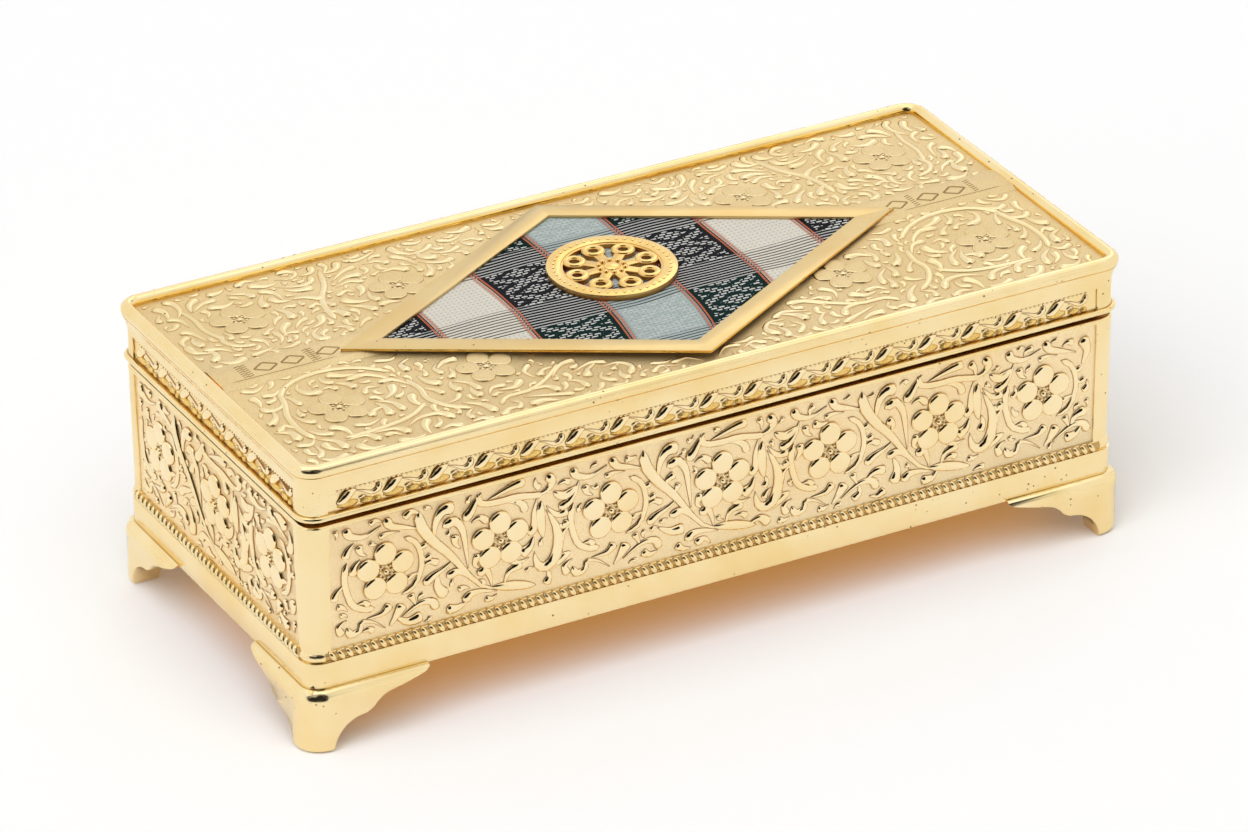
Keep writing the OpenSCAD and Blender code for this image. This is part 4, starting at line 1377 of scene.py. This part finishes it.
@dataclass
class Lid:
    """The cast lid: shell, frieze, carved field and engraved band."""

    scroll: float = 10.8
    beads_to_scroll: int = 10
    bead_r: float = 0.38
    bead_up: float = 2.12          # height of the beads on the frieze
    lobe_rise: float = 0.6
    wave_rise: float = 0.78        # height of a stroke as a share of its half width: on the frieze
    field_rise: float = 0.5        # and on the top
    petal_top: Point = (1.9, 6.9)  # reach of the satin tops of the petals, from and to
    fullness: float = 1.45
    plain_gap: float = 1.6         # plain ground kept round the diamond frame
    ramp_w: float = 1.9            # width of the slopes beside the middle band
    ramp_t: float = 0.2
    ramp_under: float = 9.0        # how far they run on under the diamond frame
    line_widths: Triple = (0.5, 0.3, 0.25)  # of the lozenges, the ticks and the front line
    lozenge: Point = (2.8, 2.0)    # half length and half width
    tick: Point = (0.7, 0.4)       # half length, and rise from end to end
    tick_step: float = 0.85
    line: Point = (95.0, 70.0)     # ends of the front line
    groove: Triple = (97.0, 41.8, 57.6)     # half length, half width and top of the lid's own hollow
    flowers: tuple[Point, ...] = ((-80.0, 25.0), (-42.9, 22.6), (-79.3, -21.0), (-43.8, -20.0))

    def build(self) -> None:
        """Builds the lid's pieces."""
        self.shell()
        for side in Side:
            self.frieze(side)
        self.field()
        self.band()

    def shell(self) -> None:
        """Rounds the casting's edges, marks the ground of the field, and gives painted reflection to the
        inner flank and painted shade to the underside.
        """
        shell = softened_copy("lid_shell", "cast_lid", 0.14)
        finishes = (BRIGHT, SATIN_GROUND, FLANK_REFLECTION_PLATE, PAINTED_SHADE_PLATE)
        finish_piece(shell, "lid", "gold_plate", finishes, "lid_shell")
        low, high = (SIZES.field_z - 0.2) * MM, (SIZES.band_z + 0.05) * MM

        def on_field(centre: Vector, normal: Vector) -> bool:
            """Says whether a face is the ground of the top field."""
            if normal.z < 0.9 or not low < centre.z < high:
                return False
            return abs(centre.x) < SIZES.field_half_x * MM and abs(centre.y) < SIZES.field_half_y * MM

        def on_flank(centre: Vector, normal: Vector) -> bool:
            """Says whether a face is the inner flank of the roll round the field, which is given painted
            reflection.
            """
            if not low < centre.z < (SIZES.field_z + 1.25) * MM:
                return False
            for side in Side:
                out, facing = side.brought_round(centre, normal)
                if facing.y > 0.7 and out.y < (5 - SIZES.half(side)) * MM:
                    return True
            return False

        def on_underside(centre: Vector, normal: Vector) -> bool:
            """Says whether a face is the underside of the lip or the groove over the collar, which are
            given painted shade.
            """
            low_down = centre.z < (SIZES.frieze_low - 1.2) * MM and normal.z < -0.9
            x, y, z = self.groove
            groove = abs(centre.x) < x * MM and abs(centre.y) < y * MM and centre.z < z * MM
            return low_down or groove

        for index, wanted in ((1, on_field), (2, on_flank), (3, on_underside)):
            coat_faces(shell, index, wanted)

    def frieze(self, side: Side) -> None:
        """Carves the running wave along one side of the lid, with its lobes and its beads."""
        reach = SIZES.span(side) - 0.3
        count = int(2 * reach / self.scroll)
        start = -count * self.scroll / 2
        drawn = [stroke.moved(start + index * self.scroll)
                 for index in range(count) for stroke in FRIEZE_REPEAT]
        middle = (SIZES.frieze_low + SIZES.frieze_high) / 2
        place = SIZES.on_side(side, -SIZES.lid_in - SIZES.frieze_deep, middle)
        name = side.name.lower()
        step = self.scroll / self.beads_to_scroll
        beads = self.row_of_domes(f"{name}_beads", (self.bead_r, self.bead_r, self.bead_r),
                                  start + step / 2, self.bead_up, count * self.beads_to_scroll, step)
        wave = join([CARVER.strokes(f"{name}_wave", drawn, self.wave_rise), beads], f"{name}_frieze")
        lay(wave, place)
        finish_piece(wave, "lid", "gold_plate", (CREST,))
        lobes = [self.row_of_domes("lobes", (a, b, self.lobe_rise), start + x, y, count, self.scroll)
                 for x, y, a, b in FRIEZE_LOBES]
        seeded = lay(join(lobes, f"{name}_frieze_lobes"), place)
        finish_piece(seeded, "lid", "gold_plate", (SEEDED,))

    def row_of_domes(self, name: str, radii: Triple, x: float, y: float, count: int, step: float) -> Piece:
        """Sets a row of domes on the flat.

        Args:
            name: the row's name.
            radii: half length, half height and rise of one dome.
            x: place of the first dome along the flat.
            y: height of the row on the flat.
            count: how many domes.
            step: distance from one to the next.

        Returns:
            The row, half sunk in the flat.
        """
        dome = add_ball(name, 1.0, 10, 6)
        edit_all(dome)
        bpy.ops.transform.resize(value=radii, center_override=(0, 0, 0))
        leave_edit()
        row_of(dome, count, step)
        lay(dome, shift(x, y, 0))
        smooth(dome, 60)
        mark_rise(dome)
        return dome

    def slope(self, front: bool) -> Matrix:
        """Lays the flat on one slope of the crowned field, x and y kept."""
        near = SIZES.band_y - SIZES.band_w / 2 if front else SIZES.band_y + SIZES.band_w / 2
        edge = -SIZES.field_half_y if front else SIZES.field_half_y
        angle = math.degrees(math.atan(SIZES.crown / (near - edge)))
        return shift(0, edge, SIZES.field_z) @ turn(angle, "X") @ shift(0, -edge, 0)

    def field(self) -> None:
        """Carves the flowers and vines of the top."""
        flower = CARVER.flower("top_flower", height=0.5, seed_share=0.45)
        a, b = SIZES.diamond

        def under_frame(x: float, y: float) -> bool:
            """Says whether a place lies under the diamond frame or close to it."""
            return (abs(x) - self.plain_gap) / a + (abs(y) - self.plain_gap / 2) / b < 1

        def on_petal(centre: Vector, normal: Vector) -> bool:
            """Says whether a face is the flat top of a petal."""
            if normal.z < 0.965 or centre.z < 0.15 * MM:
                return False
            reach = min(math.hypot(abs(centre.x / MM) + x, centre.y / MM - y) for x, y in self.flowers)
            return self.petal_top[0] < reach < self.petal_top[1]

        far = SIZES.field_half_y - 0.4
        behind = SIZES.band_y + SIZES.band_w / 2 + 0.8
        before = SIZES.band_y - SIZES.band_w / 2 - 0.8
        for name, drawn, low, high in (("rear", LID_REAR_LEFT, behind, far),
                                       ("front", LID_FRONT_LEFT, -far, before)):
            front = name == "front"
            ground = Ground((0.8 - SIZES.field_half_x, low), (0.0, high), self.flowers, under_frame)
            full = list(drawn) + FILLER.fill(ground, drawn, self.fullness)
            both = [stroke.moved(0, flip=flip) for flip in (False, True) for stroke in full]
            parts = [CARVER.strokes(f"{name}_field", both, self.field_rise, self.fullness)]
            for x, y in self.flowers:
                if (y < 0) == front:
                    parts += [copy_of(flower, "flower", shift(sign * x, y, 0)) for sign in (1, -1)]
            relief = join(parts, f"{name}_field_relief")
            finish_piece(relief, "lid", "gold_plate", (SATIN_CREST, SATIN_GROUND))
            coat_faces(relief, 1, on_petal)
            lay(relief, self.slope(front))
        bpy.data.objects.remove(flower)

    def band(self) -> None:
        """Slopes the edges of the middle band and draws its engraved lozenges, ticks and front line as low
        raised lines painted dark as groove shade.
        """
        y = SIZES.band_y
        step = SIZES.band_z - SIZES.field_z - SIZES.crown
        inner = SIZES.diamond[0] - self.ramp_under
        ramps = []
        for end, sign in ((-1, -1), (-1, 1), (1, -1), (1, 1)):
            ramp = add_new("band_ramps", bpy.ops.mesh.primitive_cube_add, size=MM)
            wide = math.hypot(step, self.ramp_w)
            fall = math.degrees(math.atan(step / self.ramp_w))
            lay(ramp, Matrix.Diagonal((SIZES.field_half_x - inner, wide, self.ramp_t, 1)))
            lay(ramp, shift(0, 0, -self.ramp_t / 2) @ turn(-sign * fall, "X"))
            middle = y + sign * (SIZES.band_w + self.ramp_w) / 2
            place = shift(end * (SIZES.field_half_x + inner) / 2, middle, SIZES.band_z - step / 2)
            ramps.append(lay(ramp, place))
        finish_piece(join(ramps, "band_ramps"), "lid", "gold_plate", (SATIN_GROUND,))
        lines = []
        for x in LOZENGES:
            a, b = self.lozenge
            corners = ((x - a, y), (x, y + b), (x + a, y), (x, y - b))
            lines += [Stroke((corner, corners[(index + 1) % 4]), self.line_widths[0], Form.VINE)
                      for index, corner in enumerate(corners)]
        for x in TICK_ROWS:
            a, b = self.tick
            lines += [Stroke(((x - a, row), (x + a, row + b)), self.line_widths[1], Form.VINE)
                      for row in (y + index * self.tick_step for index in range(-3, 4))]
        edge = y - SIZES.band_w / 2 + 0.5
        lines += [Stroke(tuple((sign * x, edge) for x in self.line), self.line_widths[2], Form.VINE)
                  for sign in (-1, 1)]
        engraved = CARVER.strokes("band_lozenges", lines, 0.35)
        lay(engraved, shift(0, 0, SIZES.band_z))
        finish_piece(engraved, "lid", "gold_plate", (GROOVE_SHADE_PLATE,))


@dataclass
class Inset:
    """The diamond frame, the cloth stretched under it and the medallion."""

    cells: int = 36
    petals: int = 8
    beads: int = 44
    casting_share: float = 0.82    # height of the plain casting under the beads, of the whole height

    def build(self) -> None:
        """Builds the inset's pieces."""
        plate = softened_copy("diamond_frame", "diamond_frame_plate", 0.2)
        finish_piece(plate, "lid", "frame_gold", (FRAME_PLATE, FLANK_REFLECTION_PLATE),
                     "diamond_frame")

        def on_rim(centre: Vector, normal: Vector) -> bool:
            """Says whether a face is part of the frame's outer edge, which is given painted reflection."""
            a, b = SIZES.diamond
            return abs(normal.z) < 0.6 and (abs(centre.x) / a + abs(centre.y) / b) / MM > 0.98

        coat_faces(plate, 1, on_rim)
        self.cloth()
        self.medallion()
        coat(frame["nodes"]["fabric_card"], BOARD)
        coat(frame["nodes"]["push_nuts"], STEEL)

    def cloth(self) -> None:
        """Cuts the plaid to the pocket and stretches it over its card."""
        a, b = SIZES.diamond
        share = 1 - SIZES.pocket_in * math.hypot(a, b) / (a * b)
        long_half, wide_half = a * share, b * share
        cloth = add_new("stretched_plaid", bpy.ops.mesh.primitive_grid_add, x_subdivisions=self.cells,
                        y_subdivisions=self.cells, size=2)
        stretch = Matrix.Diagonal((long_half * MM / math.sqrt(2), wide_half * MM / math.sqrt(2), 1, 1))
        lay(cloth, turn(45))
        lay(cloth, shift(0, 0, SIZES.band_z - 0.12) @ stretch)
        puckers = bpy.data.textures.new("puckers", "CLOUDS")
        puckers.noise_scale = 14 * MM
        modify(cloth, "DISPLACE", texture=puckers, texture_coords="LOCAL", direction="Z",
               strength=0.16 * MM, mid_level=1.0)
        modify(cloth, "SOLIDIFY", thickness=0.3 * MM, offset=-1.0)
        smooth(cloth)
        finish_piece(cloth, "lid", "plaid_cloth", (PLAID,), "fabric_inset")

    def medallion(self) -> None:
        """Domes the pierced rosette and sets a ring of beads on its rim."""
        top = SIZES.band_z + SIZES.medal_t * self.casting_share
        reach = SIZES.medal_r - SIZES.medal_ring
        petal_r = reach * math.sin(math.pi / self.petals) * 0.62
        casting = softened_copy("medallion", "rosette_casting", 0.22)
        flatter = Matrix.Diagonal((1, 1, self.casting_share, 1))
        lay(casting, shift(0, 0, SIZES.band_z) @ flatter @ shift(0, 0, -SIZES.band_z))
        parts = [casting]
        middle = shift(0, SIZES.medal_y, 0)
        curl = add_new("curl", bpy.ops.mesh.primitive_torus_add, major_segments=20, minor_segments=8,
                       major_radius=petal_r * 0.72 * MM, minor_radius=petal_r * 0.25 * MM)
        lay(curl, shift(reach - petal_r, 0, top - 0.36) @ Matrix.Diagonal((1, 1, 0.7, 1)))
        parts += ring_of(curl, self.petals, place=middle)
        bpy.data.objects.remove(curl)
        for name, count, place, size in (("bead", self.beads, SIZES.medal_r - SIZES.medal_ring / 2, 0.62),
                                         ("boss_bead", 10, reach * 0.26, 0.55), ("boss", 1, 0.0, 1.9)):
            ball = add_ball(name, size, 12, 8)
            sink = Matrix.Diagonal((1, 1, min(1.0, 0.5 / size), 1))
            lay(ball, shift(place, 0, top - 0.2) @ sink)
            parts += ring_of(ball, count, place=middle)
            bpy.data.objects.remove(ball)
        made = join(parts, "rosette_medallion")
        smooth(made)
        mark_rise(made, base=SIZES.band_z)
        finish_piece(made, "lid", "medal_gold", (MEDAL_PLATE,), "medallion")


@dataclass
class Linings:
    """Velvet-covered boards on the walls and the two velvet pads."""

    edge: float = 0.9
    crown: float = 0.25

    def build(self) -> None:
        """Builds the linings."""
        for side in ("front", "rear", "left", "right"):
            board = softened_copy(f"lining_{side}", f"velvet_board_{side}", 0.4)
            finish_piece(board, "box", "velvet", (VELVET,), f"lining_{side}")
        self.pad("base_pad", "floor_pad", "box")
        self.pad("lid_pad", "lid_inner_pad", "lid")

    def pad(self, node: str, name: str, body: str) -> None:
        """Models a thin stuffed pad with rounded edges and a faintly uneven face.

        Args:
            node: the CAD node that it stands for.
            name: the piece's name.
            body: the body that it rides on.
        """
        low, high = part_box(node)
        size = Vector(high) - Vector(low)
        pad = add_new(name, bpy.ops.mesh.primitive_cube_add, size=1.0)
        lay(pad, Matrix.Translation((Vector(low) + Vector(high)) / 2) @ Matrix.Diagonal((*size, 1)))
        modify(pad, "BEVEL", width=self.edge * MM, segments=4, limit_method="ANGLE")
        edit_all(pad)
        bpy.ops.mesh.subdivide(number_cuts=24)
        leave_edit()
        lumps = bpy.data.textures.new(name + "_lumps", "CLOUDS")
        lumps.noise_scale = 22 * MM
        modify(pad, "DISPLACE", texture=lumps, texture_coords="LOCAL", strength=self.crown * MM,
               mid_level=1.0)
        smooth(pad, 60)
        finish_piece(pad, body, "velvet", (VELVET,), node)


@dataclass
class Studio:
    """Pale floor, soft light and the camera."""

    lens: float = 217.25
    sensor: float = 36.0
    place: Triple = (-0.6926, -1.2767, 0.8158)
    yaw: float = 28.487
    pitch: float = 28.297
    roll: float = -0.426
    floor_size: float = 8.0
    floor_gap: float = 0.1         # how far the floor lies under the feet, in millimetres
    dark_up: float = 0.54          # rise of the direction of the dark quarter's middle
    panel: float = 0.5             # how much brighter the panel overhead is than the surroundings
    horizon: float = 0.04          # light on matt surfaces from the horizon
    sky: float = 0.36              # what is added to it higher up
    window: float = 2.16           # what is added to it by the window over the front
    window_aim: Triple = (-0.29, -0.38, 0.88)
    doorway: float = 1.0           # what is added to it by the doorway low on the left
    doorway_aim: Triple = (-0.88, -0.18, 0.43)
    glow_size: Point = (0.186, 0.080)
    glow_z: float = 9.0
    glow_power: float = 0.0178
    glow_colour: Colour = (1.0, 0.45, 0.03)

    def build(self) -> None:
        """Sets the stage."""
        self.floor()
        self.world()
        self.lamps()
        self.camera()

    def floor(self) -> None:
        """Lays a plain pale floor that takes the shadow and looks white to the camera."""
        floor = add_new("floor", bpy.ops.mesh.primitive_plane_add, size=self.floor_size,
                        location=(0, 0, -self.floor_gap * MM))
        bpy.ops.object.transform_apply(location=True, rotation=True, scale=True)
        coat(floor, FLOOR)

    def world(self) -> None:
        """White surroundings with one dark quarter, where a photographer would stand.

        Polished metal also finds a brighter panel overhead, and matt surfaces get most of their
        light from a window high over the front and some from a doorway low on the left.
        """
        world = bpy.data.worlds.new("studio")
        bpy.context.scene.world = world
        world.use_nodes = True
        world.node_tree.nodes.clear()
        sheet = NodeSheet(world.node_tree)
        direction = sheet.add("TexCoord").outputs["Generated"]
        toward = (-math.sin(math.radians(self.yaw)), -math.cos(math.radians(self.yaw)), self.dark_up)
        near = self.lobe(sheet, direction, toward, 38, 46.5)
        rays = sheet.add("LightPath").outputs
        up = sheet.add("SeparateXYZ", Vector=direction).outputs[2]
        panel = sheet.times(sheet.step(up, 0.84, 0.94), self.panel, rays["Is Glossy Ray"])
        window = self.lobe(sheet, direction, self.window_aim, 18, 44)
        doorway = self.lobe(sheet, direction, self.doorway_aim, 12, 38)
        sky = sheet.scale_add(sheet.step(up, 0.25, 0.85), self.sky, self.horizon - 1.0)
        sky = sheet.scale_add(window, self.window, sky)
        sky = sheet.scale_add(doorway, self.doorway, sky)
        sky = sheet.times(sky, rays["Is Diffuse Ray"])
        strength = sheet.math("ADD", sheet.math("ADD", panel, sky), 1.0)
        dark = sheet.times(near, rays["Is Glossy Ray"])
        colour = sheet.mix(dark, (1.0, 1.0, 1.0), (0.006, 0.005, 0.004))
        background = sheet.add("Background", Color=colour, Strength=strength)
        sheet.add("OutputWorld", Surface=background.outputs[0])

    def lobe(self, sheet: NodeSheet, direction: Socket, aim: Triple, full: float, none: float) -> Socket:
        """Masks a round patch of the surroundings that fades out towards its rim.

        Args:
            sheet: the world's nodes.
            direction: the direction that is looked in.
            aim: the direction of the middle of the patch.
            full: the angle in degrees from the middle up to which the mask is 1.
            none: the angle from which it is 0.

        Returns:
            The mask.
        """
        facing = sheet.add("VectorMath", operation="DOT_PRODUCT")
        sheet.feed(facing, 0, direction)
        sheet.feed(facing, 1, Vector(aim).normalized())
        low, high = (math.cos(math.radians(angle)) for angle in (none, full))
        return sheet.step(facing.outputs["Value"], low, high)

    def lamps(self) -> None:
        """Hangs a large soft lamp over the left and a smaller one behind the right.

        A third, warm and faint, stands in under the box for the light that the gold throws down.
        """
        for name, place, size, power in (("key", (-0.9, -0.5, 1.5), 1.0, 1.6),
                                         ("back", (0.9, 1.0, 1.1), 0.7, 0.9)):
            lamp = self.hang(name, place, size, power)
            aim = Vector((0, 0, 0.03)) - Vector(place)
            lamp.rotation_euler = aim.to_track_quat("-Z", "Y").to_euler()
        glow = self.hang("gold_glow", (0.0, 0.0, self.glow_z * MM), self.glow_size[0], self.glow_power)
        glow.data.shape = "RECTANGLE"
        glow.data.size_y = self.glow_size[1]
        glow.data.color = self.glow_colour

    def hang(self, name: str, place: Triple, size: float, power: float) -> Piece:
        """Hangs one area lamp, facing down.

        Args:
            name: the lamp's name.
            place: where it hangs, in metres.
            size: its width, in metres.
            power: its power, in watts.

        Returns:
            The lamp.
        """
        lamp = add_new(name, bpy.ops.object.light_add, type="AREA", location=place)
        lamp.data.energy = power
        lamp.data.size = size
        return lamp

    def camera(self) -> None:
        """Places the camera."""
        camera = add_new("camera", bpy.ops.object.camera_add, location=self.place)
        camera.data.sensor_width = self.sensor
        camera.data.lens = self.lens
        camera.data.clip_start = 0.05
        camera.data.clip_end = 50.0
        camera.rotation_euler = (turn(-self.yaw) @ turn(90 - self.pitch, "X") @ turn(self.roll)).to_euler()
        bpy.context.scene.camera = camera


def main() -> None:
    """Builds the classes in order."""
    logging.basicConfig(level=logging.INFO, format="%(name)s: %(message)s")
    bpy.context.scene.view_settings.view_transform = "Standard"
    for assembly in (CastBody(), Feet(), Lid(), Inset(), Linings()):
        assembly.build()
    for node in ("hinge_pin_left", "hinge_pin_right"):
        coat(frame["nodes"][node], STEEL)
    Studio().build()


if __name__ == "__main__":
    main()
